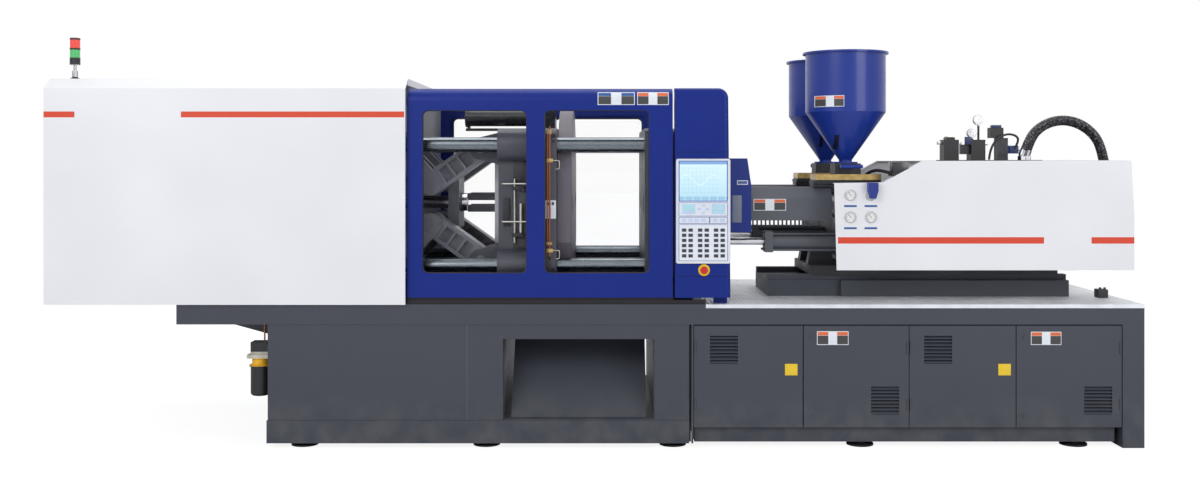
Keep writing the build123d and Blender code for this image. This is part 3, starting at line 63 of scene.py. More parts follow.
# %% Place the camera
def linked(name, data):
    """A new object in the scene that has these data."""
    made = bpy.data.objects.new(name, data)
    scene.collection.objects.link(made)
    return made


camera_data = bpy.data.cameras.new("studio_camera")
camera_data.sensor_width = 36
camera_data.lens = 35.89
camera_data.shift_x = -0.0058
camera_data.shift_y = -0.0671
camera_data.clip_end = 60
camera = linked("studio_camera", camera_data)
camera.location = (0.071, -7.82, 1.704)
camera.rotation_euler = (math.radians(90), 0, 0)
scene.camera = camera
print("camera at", tuple(round(value, 3) for value in camera.location))

# %% [markdown]
# ## Shader maths written as sums
#
# A finish is a small network of nodes. Wired by hand each one takes many
# lines, so a socket is wrapped in a class that knows plus, minus and times:
# `1 - worn * 0.3` then adds the Math nodes by itself. Every other node comes
# from one method, `Wiring.node`, which sets the node up first and then feeds
# its sockets with numbers, colours or other sockets.

# %% A socket that can be added and multiplied
class Level:
    """A number that changes over a surface, as the output socket of a node."""

    def __init__(self, finish, socket):
        self.finish = finish
        self.socket = socket

    def sum(self, operation, *values):
        return self.finish.node("ShaderNodeMath", {"operation": operation}, values)

    def __add__(self, other):
        return self.sum("ADD", self, other)

    def __radd__(self, other):
        return self.sum("ADD", other, self)

    def __sub__(self, other):
        return self.sum("SUBTRACT", self, other)

    def __rsub__(self, other):
        return self.sum("SUBTRACT", other, self)

    def __mul__(self, other):
        return self.sum("MULTIPLY", self, other)

    def __truediv__(self, other):
        return self.sum("DIVIDE", self, other)

    def __gt__(self, other):
        return self.sum("GREATER_THAN", self, other)

    def __lt__(self, other):
        return self.sum("LESS_THAN", self, other)

    def repeat(self, pitch):
        return self.sum("FLOORED_MODULO", self, pitch)

    def size(self):
        return self.sum("ABSOLUTE", self)

    def within(self, low, high):
        return (self > low) * (self < high)


# %% A finish is a material that is built up by plain calls
def colour(red, green, blue):
    """A colour as seen on a screen, 0 to 255, as the linear one that a shader takes."""
    def linear(value):
        share = value / 255
        return share / 12.92 if share <= 0.04045 else ((share + 0.055) / 1.055) ** 2.4

    return (linear(red), linear(green), linear(blue), 1.0)


def shaded(shade, share):
    """The colour made darker, or lighter with a share above 1."""
    return tuple(min(1.0, share * part) for part in shade[:3]) + (1,)


class Wiring:
    """A node tree whose nodes are added by one call, for materials and for shapes."""

    def feed(self, socket, value):
        if isinstance(value, Level):
            self.tree.links.new(value.socket, socket)
        else:
            socket.default_value = value

    def node(self, kind, settings=None, values=(), output=0):
        made = self.tree.nodes.new(kind)
        for name, setting in (settings or {}).items():
            setattr(made, name, setting)
        pairs = values.items() if isinstance(values, dict) else enumerate(values)
        for key, value in pairs:
            self.feed(made.inputs[key], value)
        return Level(self, made.outputs[output])

    def rays(self, *kinds):
        """A level for each kind of light ray: 1 where the ray is of that kind, else 0."""
        path = self.tree.nodes.new("ShaderNodeLightPath")
        return [Level(self, path.outputs[f"Is {kind} Ray"]) for kind in kinds]


class Finish(Wiring):
    """A procedural material with short calls for the nodes that all the finishes use."""

    def __init__(self, name, **constants):
        self.material = bpy.data.materials.new(name)
        self.material.use_nodes = True
        self.tree = self.material.node_tree
        self.shader = self.tree.nodes["Principled BSDF"]
        self.place = None
        for socket_name, value in constants.items():
            self.shader.inputs[socket_name.replace("_", " ")].default_value = value

    def position(self):
        """The point of the surface in metres, the same in every pose."""
        if self.place is None:
            self.place = self.node("ShaderNodeTexCoord", output="Object")
        return self.place

    def axes(self):
        """The three numbers of the position, so that a pattern can follow a real size."""
        split = self.node("ShaderNodeSeparateXYZ", values=[self.position()])
        return [Level(self, socket) for socket in split.socket.node.outputs]

    def noise(self, scale, detail=2.0, stretch=(1, 1, 1)):
        """Soft spots, scale of them to the metre. A small stretch draws them out on that axis."""
        point = self.node("ShaderNodeMapping", values={
            "Vector": self.position(), "Scale": stretch})
        return self.node("ShaderNodeTexNoise", values={
            "Vector": point, "Scale": scale, "Detail": detail})

    def spread(self, level, low, high, bottom=0.0, top=1.0):
        """Takes a level from low..high to bottom..top and stops at both ends."""
        return self.node("ShaderNodeMapRange", {"clamp": True},
                         [level, low, high, bottom, top])

    def patches(self, scale, low, high, detail=2.0, stretch=(1, 1, 1)):
        """Noise with its contrast raised, so that low..high of it becomes 0..1."""
        return self.spread(self.noise(scale, detail, stretch), low, high)

    def blend(self, share, first, second):
        """The first colour where share is 0 and the second where it is 1."""
        return self.node("ShaderNodeMix", {"data_type": "RGBA"},
                         {0: share, 6: first, 7: second}, output=2)

    def bump(self, height, distance, below=None):
        values = {"Height": height, "Distance": distance, "Strength": 1.0}
        if below:
            values["Normal"] = below
        return self.node("ShaderNodeBump", values=values)

    def wear(self, **levels):
        """Feeds sockets of the shader, such as Base_Color, Roughness and Normal."""
        for name, level in levels.items():
            self.feed(self.shader.inputs[name.replace("_", " ")], level)
        return self.material


print("shader maths ready")

# %% [markdown]
# ## The two pressure hoses
#
# Two steel-wired rubber hoses as thick as a wrist carry oil from the valve
# block to the injection cylinders. A hose has a fixed length and is stiff, so
# it is a smooth spline through a few points and not a drawn bend. The spiral
# guard around it is a ridge that climbs one pitch per turn, so the tube is
# swept in code: rings of points along the spline, each a little turned.

# %% Sweep a tube along a route
RING_SPACING = 0.004


def plain_mesh(shown):
    """The mesh that an object has after its modifiers or its curve are worked out."""
    bpy.context.view_layer.update()
    evaluated = shown.evaluated_get(bpy.context.evaluated_depsgraph_get())
    return bpy.data.meshes.new_from_object(evaluated)


def spline_points(name, route):
    """Evenly spaced points on the NURBS spline that has the route as its control points."""
    curve = bpy.data.curves.new(name, "CURVE")
    curve.dimensions = "3D"
    spline = curve.splines.new("NURBS")
    spline.points.add(len(route) - 1)
    for point, place in zip(spline.points, route):
        point.co = (*place, 1)
    spline.order_u = 3
    spline.use_endpoint_u = True
    spline.resolution_u = 24
    holder = linked(name, curve)
    raw = [vertex.co.copy() for vertex in plain_mesh(holder).vertices]
    bpy.data.objects.remove(holder)
    return evenly(raw)


def length_of(points):
    return sum((b - a).length for a, b in zip(points, points[1:]))


def evenly(points):
    """The same line with points at one spacing, so that rings on it are even."""
    total = length_of(points)
    count = max(2, round(total / RING_SPACING))
    result = [points[0]]
    wanted, walked = total / count, 0.0
    for start, end in zip(points, points[1:]):
        step = (end - start).length
        while walked + step >= wanted * len(result) and len(result) < count:
            share = (wanted * len(result) - walked) / step
            result.append(start.lerp(end, share))
        walked += step
    return result + [points[-1]]


def tube_mesh(name, points, radius_at, sides):
    """A closed tube along points. radius_at(length so far, angle) gives its radius in metres."""
    mesh = bmesh.new()
    along = (points[1] - points[0]).normalized()
    side = along.orthogonal().normalized()
    rings, walked = [], 0.0
    for index, point in enumerate(points):
        ahead = points[min(index + 1, len(points) - 1)]
        behind = points[max(index - 1, 0)]
        heading = (ahead - behind).normalized()
        side = along.rotation_difference(heading) @ side
        along = heading
        other = along.cross(side)
        walked += (point - behind).length
        ring = []
        for step in range(sides):
            angle = 2 * math.pi * step / sides
            arm = side * math.cos(angle) + other * math.sin(angle)
            ring.append(mesh.verts.new(point + arm * radius_at(walked, angle)))
        rings.append(ring)
    for first, second in zip(rings, rings[1:]):
        for step in range(sides):
            after = (step + 1) % sides
            mesh.faces.new((first[step], first[after], second[after], second[step]))
    mesh.faces.new(reversed(rings[0]))
    mesh.faces.new(rings[-1])
    return piece_from(name, mesh)


# %% Turn a mesh under construction into a piece
def piece_from(name, mesh, smooth_below=SHARP_ANGLE):
    """Merges doubles, turns the faces outwards and links the mesh as a piece at the origin."""
    bmesh.ops.remove_doubles(mesh, verts=mesh.verts, dist=TOUCHING)
    bmesh.ops.recalc_face_normals(mesh, faces=mesh.faces)
    data = bpy.data.meshes.new(name)
    mesh.to_mesh(data)
    mesh.free()
    data.set_sharp_from_angle(angle=smooth_below)
    return linked(name, data)


def dress(piece, material, body):
    """Gives a piece its finish and the body that it rides on."""
    if not piece.data.materials:
        piece.data.materials.append(material)
    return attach(piece, body)


# %% Make both hoses
HOSE_DIAMETER = 0.044
HOSE_RIDGE = 0.0016
HOSE_PITCH = 0.017

rubber = Finish("wrapped_hose", Roughness=0.42)
mottle = rubber.noise(70, detail=3)
scuffed = rubber.spread(mottle, 0.52, 0.66)
hose_finish = rubber.wear(
    Base_Color=rubber.blend(scuffed, colour(22, 22, 25), colour(126, 126, 130)),
    Roughness=rubber.spread(mottle, 0.3, 0.7, 0.3, 0.6),
    Normal=rubber.bump(rubber.noise(420), 0.0004),
)


def ridged(walked, angle):
    """A spiral guard: the radius swells once in each pitch, and the swell climbs as it turns."""
    phase = walked / HOSE_PITCH - angle / (2 * math.pi)
    swell = max(0.0, math.cos(2 * math.pi * phase))
    return HOSE_DIAMETER / 2 - HOSE_RIDGE * (1 - swell)


def pressure_hose(name, route, node):
    line = spline_points(name + "_line", [Vector(place) for place in route])
    hose = tube_mesh(name, line, ridged, sides=20)
    dress(hose, hose_finish, "carriage")
    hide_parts(node)
    print(name, "is", round(length_of(line), 3), "m long on", len(line), "rings")


pressure_hose("hose_front", [
    (2.668, -0.365, 1.765), (2.701, -0.365, 1.853), (2.766, -0.366, 1.919),
    (2.851, -0.367, 1.957), (2.944, -0.368, 1.962), (3.034, -0.368, 1.933),
    (3.108, -0.367, 1.874), (3.156, -0.366, 1.793), (3.176, -0.365, 1.700),
], "pressure_hose_front")
pressure_hose("hose_rear", [
    (2.714, -0.315, 1.765), (2.742, -0.315, 1.848), (2.803, -0.314, 1.908),
    (2.884, -0.312, 1.941), (2.970, -0.312, 1.942), (3.052, -0.313, 1.911),
    (3.120, -0.314, 1.855), (3.160, -0.315, 1.783), (3.176, -0.315, 1.700),
], "pressure_hose_rear")

# %% [markdown]
# ## Paint
#
# Nearly all that shows of this machine is powder coat: a plastic skin baked on
# steel. Seen close it isn't flat but has the fine swell that painters call
# orange peel, and the dark grey of the bed has a deeper, leathery grain that
# hides scratches. The colour itself drifts a little from panel to panel, and
# dust settles low down. One function makes all the paints from a few numbers,
# and a coloured band, such as a stripe, is mixed in where a place says so.

# %% A function for painted steel
def painted(name, paint, rough, grain_size, grain_depth, coat=0.0, sheen=0.5, bands=()):
    """Powder coat. bands are (low corner, high corner, colour) boxes that have another colour."""
    finish = Finish(name, Coat_Weight=coat, Coat_Roughness=0.12, Specular_IOR_Level=sheen)
    drift = finish.patches(1.7, 0.3, 0.7, detail=1)
    shade = finish.blend(drift, shaded(paint, 0.94), paint)
    x, y, z = finish.axes()
    for low, high, other in bands:
        inside = x.within(low[0], high[0]) * y.within(low[1], high[1]) * z.within(low[2], high[2])
        shade = finish.blend(inside, shade, other)
    dust = finish.spread(z, 0.02, 0.34, 0.16, 0.0) * finish.patches(9, 0.35, 0.7)
    shade = finish.blend(dust, shade, DUST)
    grain = finish.noise(1 / grain_size, detail=3)
    rubbed = finish.patches(6, 0.4, 0.75, detail=4, stretch=(1, 1, 3))
    return finish.wear(Base_Color=shade, Roughness=rubbed * 0.08 + rough,
                       Normal=finish.bump(grain, grain_depth))


WHITE = colour(237, 237, 239)
BLUE = colour(14, 40, 128)
BED_GREY = colour(60, 63, 73)
COVER_GREY = colour(86, 88, 96)
STRIPE = colour(217, 64, 31)
SEAM = colour(8, 12, 40)
DUST = colour(150, 146, 138)
GREY_ENAMEL = {"paint": BED_GREY, "rough": 0.5, "grain_size": 0.0022, "grain_depth": 0.0004}
BLUE_ENAMEL = {"paint": BLUE, "rough": 0.38, "grain_size": 0.004, "grain_depth": 0.00015,
               "coat": 0.03, "sheen": 0.22}
WHITE_ENAMEL = {"paint": WHITE, "rough": 0.42, "grain_size": 0.0025, "grain_depth": 0.0001,
                "coat": 0.1}

HOOD_STRIPE = (1.955, 1.990)
COVER_STRIPE = (1.201, 1.240)
FRONT = (-0.80, -0.60)


def band(x_span, z_span, paint, y_span=FRONT):
    """A box of colour on the front of a cover, from its spans along X, Y and Z."""
    return tuple(zip(x_span, y_span, z_span)) + (paint,)


frame_paint = painted("grained_frame_enamel", **GREY_ENAMEL)
# The lighter band is a painted highlight: the bed's raised weld strip catching the light.
bed_paint = painted("weld_highlight_frame_enamel", **GREY_ENAMEL, bands=[
    band((-0.759, -0.755), (0.165, 0.731), colour(84, 87, 97)),
])
blue_paint = painted("deep_blue_enamel", **BLUE_ENAMEL)
# A lighter copy of the machine's blue for the hoppers and the purge guard: its gloss coat is real,
# its lighter colour is a painted highlight.
highlit_blue_paint = painted("highlit_hopper_enamel", colour(24, 52, 142), 0.3, 0.004, 0.00015, 0.25, 0.3, [
    band((1.474, 1.500), (1.770, 1.858), SEAM, (-0.56, -0.343)),
    band((1.500, 1.524), (1.790, 1.870), SEAM, (0.15, 0.343)),
])
column_paint = painted("seamed_blue_enamel", **BLUE_ENAMEL, bands=[
    band((0.46, 0.82), (1.7495, 1.7520), SEAM),
    band((0.46, 0.82), (1.0140, 1.0165), SEAM),
])
motor_paint = painted("gloss_black_enamel", colour(40, 41, 44), 0.25, 0.003, 0.0002, coat=0.3)
table_paint = painted("table_enamel", colour(108, 102, 112), 0.4, 0.003, 0.0002)
grey_paint = painted("mid_grey_enamel", COVER_GREY, 0.45, 0.0025, 0.0002)
hood_paint = painted("striped_hood_enamel", **WHITE_ENAMEL, bands=[
    band((-3.26, -3.067), HOOD_STRIPE, STRIPE),
    band((-2.440, -1.124), HOOD_STRIPE, STRIPE),
])
injection_paint = painted("striped_cover_enamel", **WHITE_ENAMEL, bands=[
    band((1.628, 1.698), (1.470, 1.575), BLUE, (-0.69, -0.6305)),
    band((1.459, 2.698), COVER_STRIPE, STRIPE),
    band((2.983, 3.245), COVER_STRIPE, STRIPE),
])
print("paints:", [material.name for material in bpy.data.materials if "enamel" in material.name])

# %% [markdown]
# ## Metal
#
# The tie bars are hard chromed and ground along their length, so light breaks
# on them in fine streaks. The platens and links are iron castings under thin
# grey paint, where the sand's grain still shows and the paint has worn pale in
# places. A streak is a noise that is stretched fifty times along one axis, and
# it feeds roughness and a very shallow bump.

# %% Ground, chromed and cast metal
def ground_metal(name, shade, rough, along="X", streak=260, metallic=1.0, stain=None):
    """Bare metal with grinding streaks along one axis."""
    finish = Finish(name, Metallic=metallic)
    stretch = [0.02 if axis == along else 1.0 for axis in "XYZ"]
    streaks = finish.noise(streak, detail=3, stretch=stretch)
    clouds = finish.patches(11, 0.4, 0.7, detail=3)
    dark = stain or shaded(shade, 0.72)
    return finish.wear(
        Base_Color=finish.blend(clouds * 0.5 + streaks * 0.3, shade, dark),
        Roughness=finish.spread(streaks, 0.3, 0.7, rough, rough + 0.16) + clouds * 0.05,
        Normal=finish.bump(streaks, 0.00008),
    )


def casting(name, paint, rough):
    """A painted iron casting, greasy in some places and worn in others."""
    finish = Finish(name)
    sand = finish.noise(330, detail=4)
    lumps = finish.noise(28, detail=2)
    worn = finish.patches(14, 0.56, 0.72, detail=5)
    greasy = finish.patches(5, 0.45, 0.65, detail=3)
    return finish.wear(
        Base_Color=finish.blend(worn * 0.5, paint, shaded(paint, 1.35)),
        Roughness=finish.spread(greasy, 0, 1, rough, rough - 0.17),
        Metallic=worn * 0.25,
        Normal=finish.bump(sand, 0.0005, below=finish.bump(lumps, 0.002)),
    )


# The tie bars take a darker copy of hard chrome: the darker colour is painted shade standing for
# the dark reflections along them.
bar_chrome = ground_metal("shaded_tie_chrome", colour(128, 136, 142), 0.16)
chrome = ground_metal("hard_chrome", colour(226, 226, 230), 0.12)
ground_steel = ground_metal("ground_steel", colour(198, 198, 203), 0.26)
turned_steel = ground_metal("turned_steel", colour(176, 176, 182), 0.3, along="Y")
black_steel = ground_metal("blackened_steel", colour(44, 42, 47), 0.34, metallic=0.6)
phosphated = ground_metal("phosphated_steel", colour(58, 58, 62), 0.45, metallic=0.5)
deck_sheet = ground_metal("deck_aluminium", colour(236, 238, 242), 0.34, streak=90, metallic=0.45)
brass = ground_metal("passivated_brass", colour(205, 176, 112), 0.3,
                     stain=colour(150, 132, 96))
platen_iron = casting("platen_casting", colour(72, 73, 83), 0.48)
link_iron = casting("link_casting", colour(124, 124, 134), 0.42)
dark_iron = casting("dark_casting", colour(38, 38, 43), 0.5)
print("metals:", len(bpy.data.materials), "finishes so far")

# %% [markdown]
# ## Plastic, glass and rubber
#
# The window panes are clear polycarbonate 6 mm thick. Light goes straight
# through them, so they are mostly see-through with a faint reflection, which
# costs far less time than bent rays. Moulded plastics have a fine spark-eroded
# grain, and the signal lenses are ribbed so that the lamp inside glares less.

# %% Panes, lenses and moulded plastic
LENS_RIB = 0.006


def moulded(name, shade, rough, grain_depth=0.00006, coat=0.0):
    finish = Finish(name, Coat_Weight=coat)
    grain = finish.noise(700, detail=2)
    handled = finish.patches(16, 0.45, 0.7, detail=3)
    return finish.wear(Base_Color=finish.blend(handled * 0.6, shade, shaded(shade, 0.88)),
                       Roughness=handled * 0.12 + rough,
                       Normal=finish.bump(grain, grain_depth))


def lens(name, shade, glow):
    """A coloured lens with rings of ribs and a little light of its own."""
    finish = Finish(name, Roughness=0.16, Coat_Weight=0.6, Emission_Strength=0.35)
    height = finish.axes()[2]
    # Each rib shades from the lens colour at its foot to the glow colour at its top: a painted
    # highlight on every rib.
    ribs = finish.spread(height.repeat(LENS_RIB), 0.0, LENS_RIB)
    crest = (ribs - 0.5).size() * 2
    return finish.wear(Base_Color=finish.blend(ribs, shade, glow), Emission_Color=glow,
                       Normal=finish.bump(crest, 0.0008))


pane = Finish("clear_polycarbonate")
wiped = pane.patches(3.5, 0.45, 0.75, detail=4, stretch=(1, 1, 2.5))
pane_finish = pane.wear(
    Base_Color=pane.blend(wiped, colour(30, 34, 40), colour(70, 74, 80)),
    Alpha=wiped * 0.012 + 0.008,
    Roughness=wiped * 0.1 + 0.05,
)

bezel_plastic = moulded("bezel_plastic", colour(228, 229, 233), 0.42)
black_plastic = moulded("black_plastic", colour(30, 30, 33), 0.45)
stop_plastic = moulded("stop_red_plastic", colour(200, 26, 20), 0.28, coat=0.4)
yellow_plastic = moulded("signal_yellow_plastic", colour(244, 200, 28), 0.38)
red_lens = lens("red_lens", colour(196, 28, 24), colour(226, 60, 40))
green_lens = lens("green_lens", colour(22, 138, 62), colour(70, 180, 96))
print("plastics ready,", len(bpy.data.materials), "finishes in all")

# %% [markdown]
# ## One node, several finishes
#
# Some solids carry pieces of other stuff on them: a valve block with steel
# gauges and black coils, or a barrel with its heater bands. Their finish is
# chosen by place. A box of the machine's space, given in millimetres as in a
# drawing, has its own colour, metalness and roughness, so the CAD mesh stays
# untouched and the change of finish falls exactly on the edge of the solid.

# %% A finish chosen by place
def assembled(name, base, parts):
    """base and each part are (colour, metallic, roughness); a part starts with its box in mm."""
    finish = Finish(name)
    x, y, z = finish.axes()
    shade, metal, rough = base
    drift = finish.patches(24, 0.35, 0.7, detail=4)
    metal_level, rough_level = metal, drift * 0.1 + rough
    for (x_span, y_span, z_span), part_shade, part_metal, part_rough in parts:
        inside = 1.0
        for axis, span in ((x, x_span), (y, y_span), (z, z_span)):
            if span:
                inside = axis.within(span[0] * MM, span[1] * MM) * inside
        shade = finish.blend(inside, shade, part_shade)
        metal_level = metal_level + inside * (part_metal - metal_level)
        rough_level = rough_level + inside * (part_rough - rough_level)
    darker = finish.blend(drift * 0.35, shade, colour(20, 20, 22))
    return finish.wear(Base_Color=darker, Metallic=metal_level, Roughness=rough_level,
                       Normal=finish.bump(finish.noise(380, detail=3), 0.00025))


STEEL = colour(188, 188, 193)
BLACK = colour(28, 28, 31)
COIL_BLUE = colour(46, 84, 168)
BRASS = colour(205, 176, 112)

barrel_finish = assembled("banded_barrel", (STEEL, 0.9, 0.32), [
    (((940, 1460), None, None), colour(150, 146, 138), 0.7, 0.42),
])
throat_finish = assembled("feed_throat_plates", (colour(52, 53, 58), 0.4, 0.45), [
    ((None, None, (1581, 1616)), BRASS, 0.85, 0.34),
])
manifold_finish = assembled("valve_block", (colour(62, 63, 68), 0.55, 0.42), [
    (((2150, 2450), None, (1700, 1860)), BLACK, 0.1, 0.4),
    (((2458, 2539), None, (1841, 1910)), BLACK, 0.0, 0.45),
    (((2570, 2633), None, (1744, 1800)), COIL_BLUE, 0.0, 0.4),
    (((2318, 2386), None, (1838, 1906)), STEEL, 0.95, 0.25),
    (((2358, 2428), None, (1916, 1990)), STEEL, 0.95, 0.25),
    (((2420, 2860), None, (1565, 1601)), COVER_GREY, 0.2, 0.45),
    (((2760, 3215), None, (1565, 1612)), COVER_GREY, 0.2, 0.45),
    (((3150, 3200), None, (1612, 1715)), STEEL, 0.9, 0.3),
    (((2640, 2740), None, (1704, 1775)), STEEL, 0.9, 0.3),
])
pump_finish = assembled("lubrication_pump", (BLACK, 0.0, 0.4), [
    ((None, None, (475, 523)), colour(240, 186, 30), 0.0, 0.38),
    ((None, None, (523, 560)), colour(206, 202, 184), 0.0, 0.4),
    ((None, None, (617, 740)), colour(184, 110, 70), 0.9, 0.3),
])
tower_finish = assembled("signal_tower", (BLACK, 0.0, 0.4), [
    ((None, None, (2205, 2279)), STEEL, 0.95, 0.25),
])
print("finishes chosen by place: 5")

# %% [markdown]
# ## The operator's screen
#
# The terminal has a ten inch display with a pale cyan page: a title bar, a
# plotted curve over a faint grid and a row of soft keys. The page is bare of
# words, and all of it is drawn by sums on the surface's own position, so it
# stays sharp at any size.

# %% The display's page
page = Finish("display_page", Roughness=0.12, Coat_Weight=0.5, Emission_Strength=0.25)
x, _, z = page.axes()
grid_lines = 1 - (x.repeat(0.024) > 0.0012) * (z.repeat(0.024) > 0.0012)
grid_area = x.within(0.512, 0.738) * z.within(1.500, 1.660)
plot = page.node("ShaderNodeMath", {"operation": "SINE"}, [x * 38]) * 0.03 + 1.585
plotted = (z - plot).size() < 0.0016
title_bar = z > 1.678
soft_keys = z.within(1.464, 1.488) * (x.repeat(0.048) > 0.006)
rim = 1 - x.within(0.5, 0.779) * z.within(1.4635, 1.6955)
sky = page.blend(page.spread(z, 1.46, 1.70), colour(176, 214, 228), colour(206, 232, 240))
picture = page.blend(grid_lines * grid_area * 0.5, sky, colour(140, 176, 200))
picture = page.blend(plotted * grid_area, picture, colour(236, 246, 250))
picture = page.blend(soft_keys, picture, colour(150, 190, 214))
picture = page.blend(title_bar, picture, colour(120, 160, 204))
picture = page.blend(rim, picture, colour(58, 92, 176))
display_finish = page.wear(Base_Color=picture, Emission_Color=picture,
                           Roughness=page.spread(page.noise(30), 0.3, 0.7, 0.1, 0.2))
print("display page drawn with", len(page.tree.nodes), "nodes")

# %% [markdown]
# ## Give every solid its finish
#
# The CAD nodes arrive with plain colours. Each one gets the material that its
# real piece has, by name, and the list doubles as an index of the machine.

# %% The finish of each CAD node
NODE_FINISH = {
    bed_paint: ["clamp_bed"],
    frame_paint: ["injection_bed", "injection_base", "chute_plate", "cabinet_door_1",
                  "cabinet_door_2", "cabinet_door_3", "cabinet_door_4"],
    column_paint: ["control_column"],
    blue_paint: ["front_gate", "rear_gate"],
    highlit_blue_paint: ["purge_guard", "hoppers", "hopper_gate_front", "hopper_gate_rear"],
    motor_paint: ["table_drive"],
    table_paint: ["rotary_table"],
    hood_paint: ["clamp_hood"],
    injection_paint: ["injection_covers"],
    grey_paint: ["barrel_covers", "carriage_cylinders", "injection_cylinders", "power_pack"],
    black_steel: ["leveling_feet", "tie_bar_nuts", "gate_tracks"],
    dark_iron: ["carriage_frame"],
    platen_iron: ["fixed_platen", "moving_platen", "rear_platen", "clamp_cylinder"],
    link_iron: ["front_links_upper", "front_links_lower", "rear_links_upper",
                "rear_links_lower", "crosshead"],
    turned_steel: ["crosshead_links_upper", "crosshead_links_lower", "ejector_plate",
                   "electrical_panel"],
    ground_steel: ["screw_front", "screw_rear"],
    bar_chrome: ["tie_bars"],
    chrome: ["clamp_rod", "carriage_rods"],
    deck_sheet: ["deck_plate"],
    pane_finish: ["front_gate_panes", "rear_gate_panes"],
    barrel_finish: ["barrels"],
    throat_finish: ["feed_throats"],
    manifold_finish: ["valve_manifold"],
    pump_finish: ["lubrication_pump"],
    tower_finish: ["signal_tower"],
    red_lens: ["signal_lens_red"],
    green_lens: ["signal_lens_green"],
    bezel_plastic: ["controller_bezel"],
    display_finish: ["screen"],
    stop_plastic: ["e_stop_button"],
    hose_finish: ["pressure_hose_front", "pressure_hose_rear"],
}
finished = set()
for material, names in NODE_FINISH.items():
    for name in names:
        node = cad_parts[name]
        for index in range(len(node.material_slots)):
            node.material_slots[index].material = material
        finished.add(name)
print(len(finished), "solids finished, still plain:", sorted(set(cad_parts) - finished))

# %% [markdown]
# ## Shapes that repeat
#
# Screws, keys and the raised tears of the chequer plate repeat by the dozen or
# the thousand. Geometry Nodes place one small shape on many points, with the
# sizes as named inputs of the tree, so a screw is a matter of two numbers.
# The result is turned into a plain mesh at the end, because only a plain mesh
# leaves Blender whole.

# %% A tree of Geometry Nodes built by calls
class Growth(Wiring):
    """A Geometry Nodes tree with named inputs that ends in one mesh with one material."""

    KINDS = {float: "NodeSocketFloat", tuple: "NodeSocketVector"}

    def __init__(self, name, **inputs):
        self.tree = bpy.data.node_groups.new(name, "GeometryNodeTree")
        sockets = self.tree.interface
        sockets.new_socket("Geometry", in_out="OUTPUT", socket_type="NodeSocketGeometry")
        sockets.new_socket("Geometry", in_out="INPUT", socket_type="NodeSocketGeometry")
        for label, value in inputs.items():
            made = sockets.new_socket(label, in_out="INPUT", socket_type=self.KINDS[type(value)])
            made.default_value = value
        sockets.new_socket("Material", in_out="INPUT", socket_type="NodeSocketMaterial")
        self.entry = self.tree.nodes.new("NodeGroupInput")

    def __getitem__(self, label):
        return Level(self, self.entry.outputs[label])

    def place(self, shape, points, **more):
        return self.node("GeometryNodeInstanceOnPoints",
                         values={"Points": points, "Instance": shape, **more})

    def join(self, *shapes):
        joined = self.tree.nodes.new("GeometryNodeJoinGeometry")
        for shape in shapes:
            self.tree.links.new(shape.socket, joined.inputs[0])
        return Level(self, joined.outputs[0])

    def end(self, shapes):
        real = self.node("GeometryNodeRealizeInstances", values={"Geometry": shapes})
        painted_shape = self.node("GeometryNodeSetMaterial",
                                  values={"Geometry": real, "Material": self["Material"]})
        leave = self.tree.nodes.new("NodeGroupOutput")
        self.tree.links.new(painted_shape.socket, leave.inputs[0])
        return self

    def identifier(self, label):
        for socket in self.tree.interface.items_tree:
            if socket.name == label and socket.in_out == "INPUT":
                return socket.identifier


def grown(name, growth, places, material, body, slot, **values):
    """Runs a tree on points in millimetres and keeps the result as a plain mesh."""
    data = bpy.data.meshes.new(name)
    data.from_pydata([[part * MM for part in place] for place in places], [], [])
    piece = linked(name, data)
    modifier = piece.modifiers.new("growth", "NODES")
    modifier.node_group = growth.tree
    for label, value in {**values, "Material": material}.items():
        modifier[growth.identifier(label)] = value
    plain = plain_mesh(piece)
    piece.modifiers.clear()
    piece.data = plain
    plain.set_sharp_from_angle(angle=SHARP_ANGLE)
    print(name, "has", len(plain.polygons), "faces")
    return dress(piece, material, body)


TOWARDS_FRONT = (math.radians(90), 0.0, 0.0)
UPWARDS = (0.0, 0.0, 0.0)

# %% Screws: a washer, a round head and its six-sided centre
screw = Growth("cap_screw", Radius=0.008, Height=0.008, Facing=UPWARDS)
washer = screw.node("GeometryNodeMeshCylinder", values={
    "Vertices": 16, "Radius": screw["Radius"] * 1.45, "Depth": screw["Height"] * 0.5})
head = screw.node("GeometryNodeMeshCone", values={
    "Vertices": 14, "Radius Top": screw["Radius"] * 0.88, "Radius Bottom": screw["Radius"],
    "Depth": screw["Height"]})
centre = screw.node("GeometryNodeMeshCylinder", values={
    "Vertices": 6, "Radius": screw["Radius"] * 0.5, "Depth": screw["Height"] * 2.1})
screw.end(screw.place(screw.join(washer, head, centre), screw["Geometry"],
                      Rotation=screw["Facing"]))

# %% Keys: a cap that narrows towards the finger
keys = Growth("key_caps", Width=0.026, Height=0.019, Depth=0.003)
cap = keys.node("GeometryNodeMeshCone", values={
    "Vertices": 4, "Radius Top": 0.6, "Radius Bottom": 0.7071, "Depth": 1.0})
squared = keys.node("GeometryNodeTransform", values={
    "Geometry": cap, "Rotation": (0.0, 0.0, math.radians(45))})
key_size = keys.node("ShaderNodeCombineXYZ", values=[keys["Width"], keys["Height"], keys["Depth"]])
sized = keys.node("GeometryNodeTransform", values={"Geometry": squared, "Scale": key_size})
keys.end(keys.place(sized, keys["Geometry"], Rotation=TOWARDS_FRONT))
print("trees:", [tree.name for tree in bpy.data.node_groups])

# %% [markdown]
# ## The operator's terminal
#
# Below the screen the terminal has membrane fields for the setting keys, a row
# of function keys and six rows of move keys in three blocks. Under it sits the
# stop button in its yellow ring. Real keys carry signs; these stay blank.

# %% Plates that are made of fields of colour
def add_box(mesh, low, high, index=0):
    """Adds a box between two corners in millimetres; its faces use material number index."""
    made = bmesh.ops.create_cube(mesh, size=1)["verts"]
    for vertex in made:
        vertex.co = Vector([(a + (part + 0.5) * (b - a)) * MM
                            for a, b, part in zip(low, high, vertex.co)])
    for face in {face for vertex in made for face in vertex.link_faces}:
        face.material_index = index
    return made


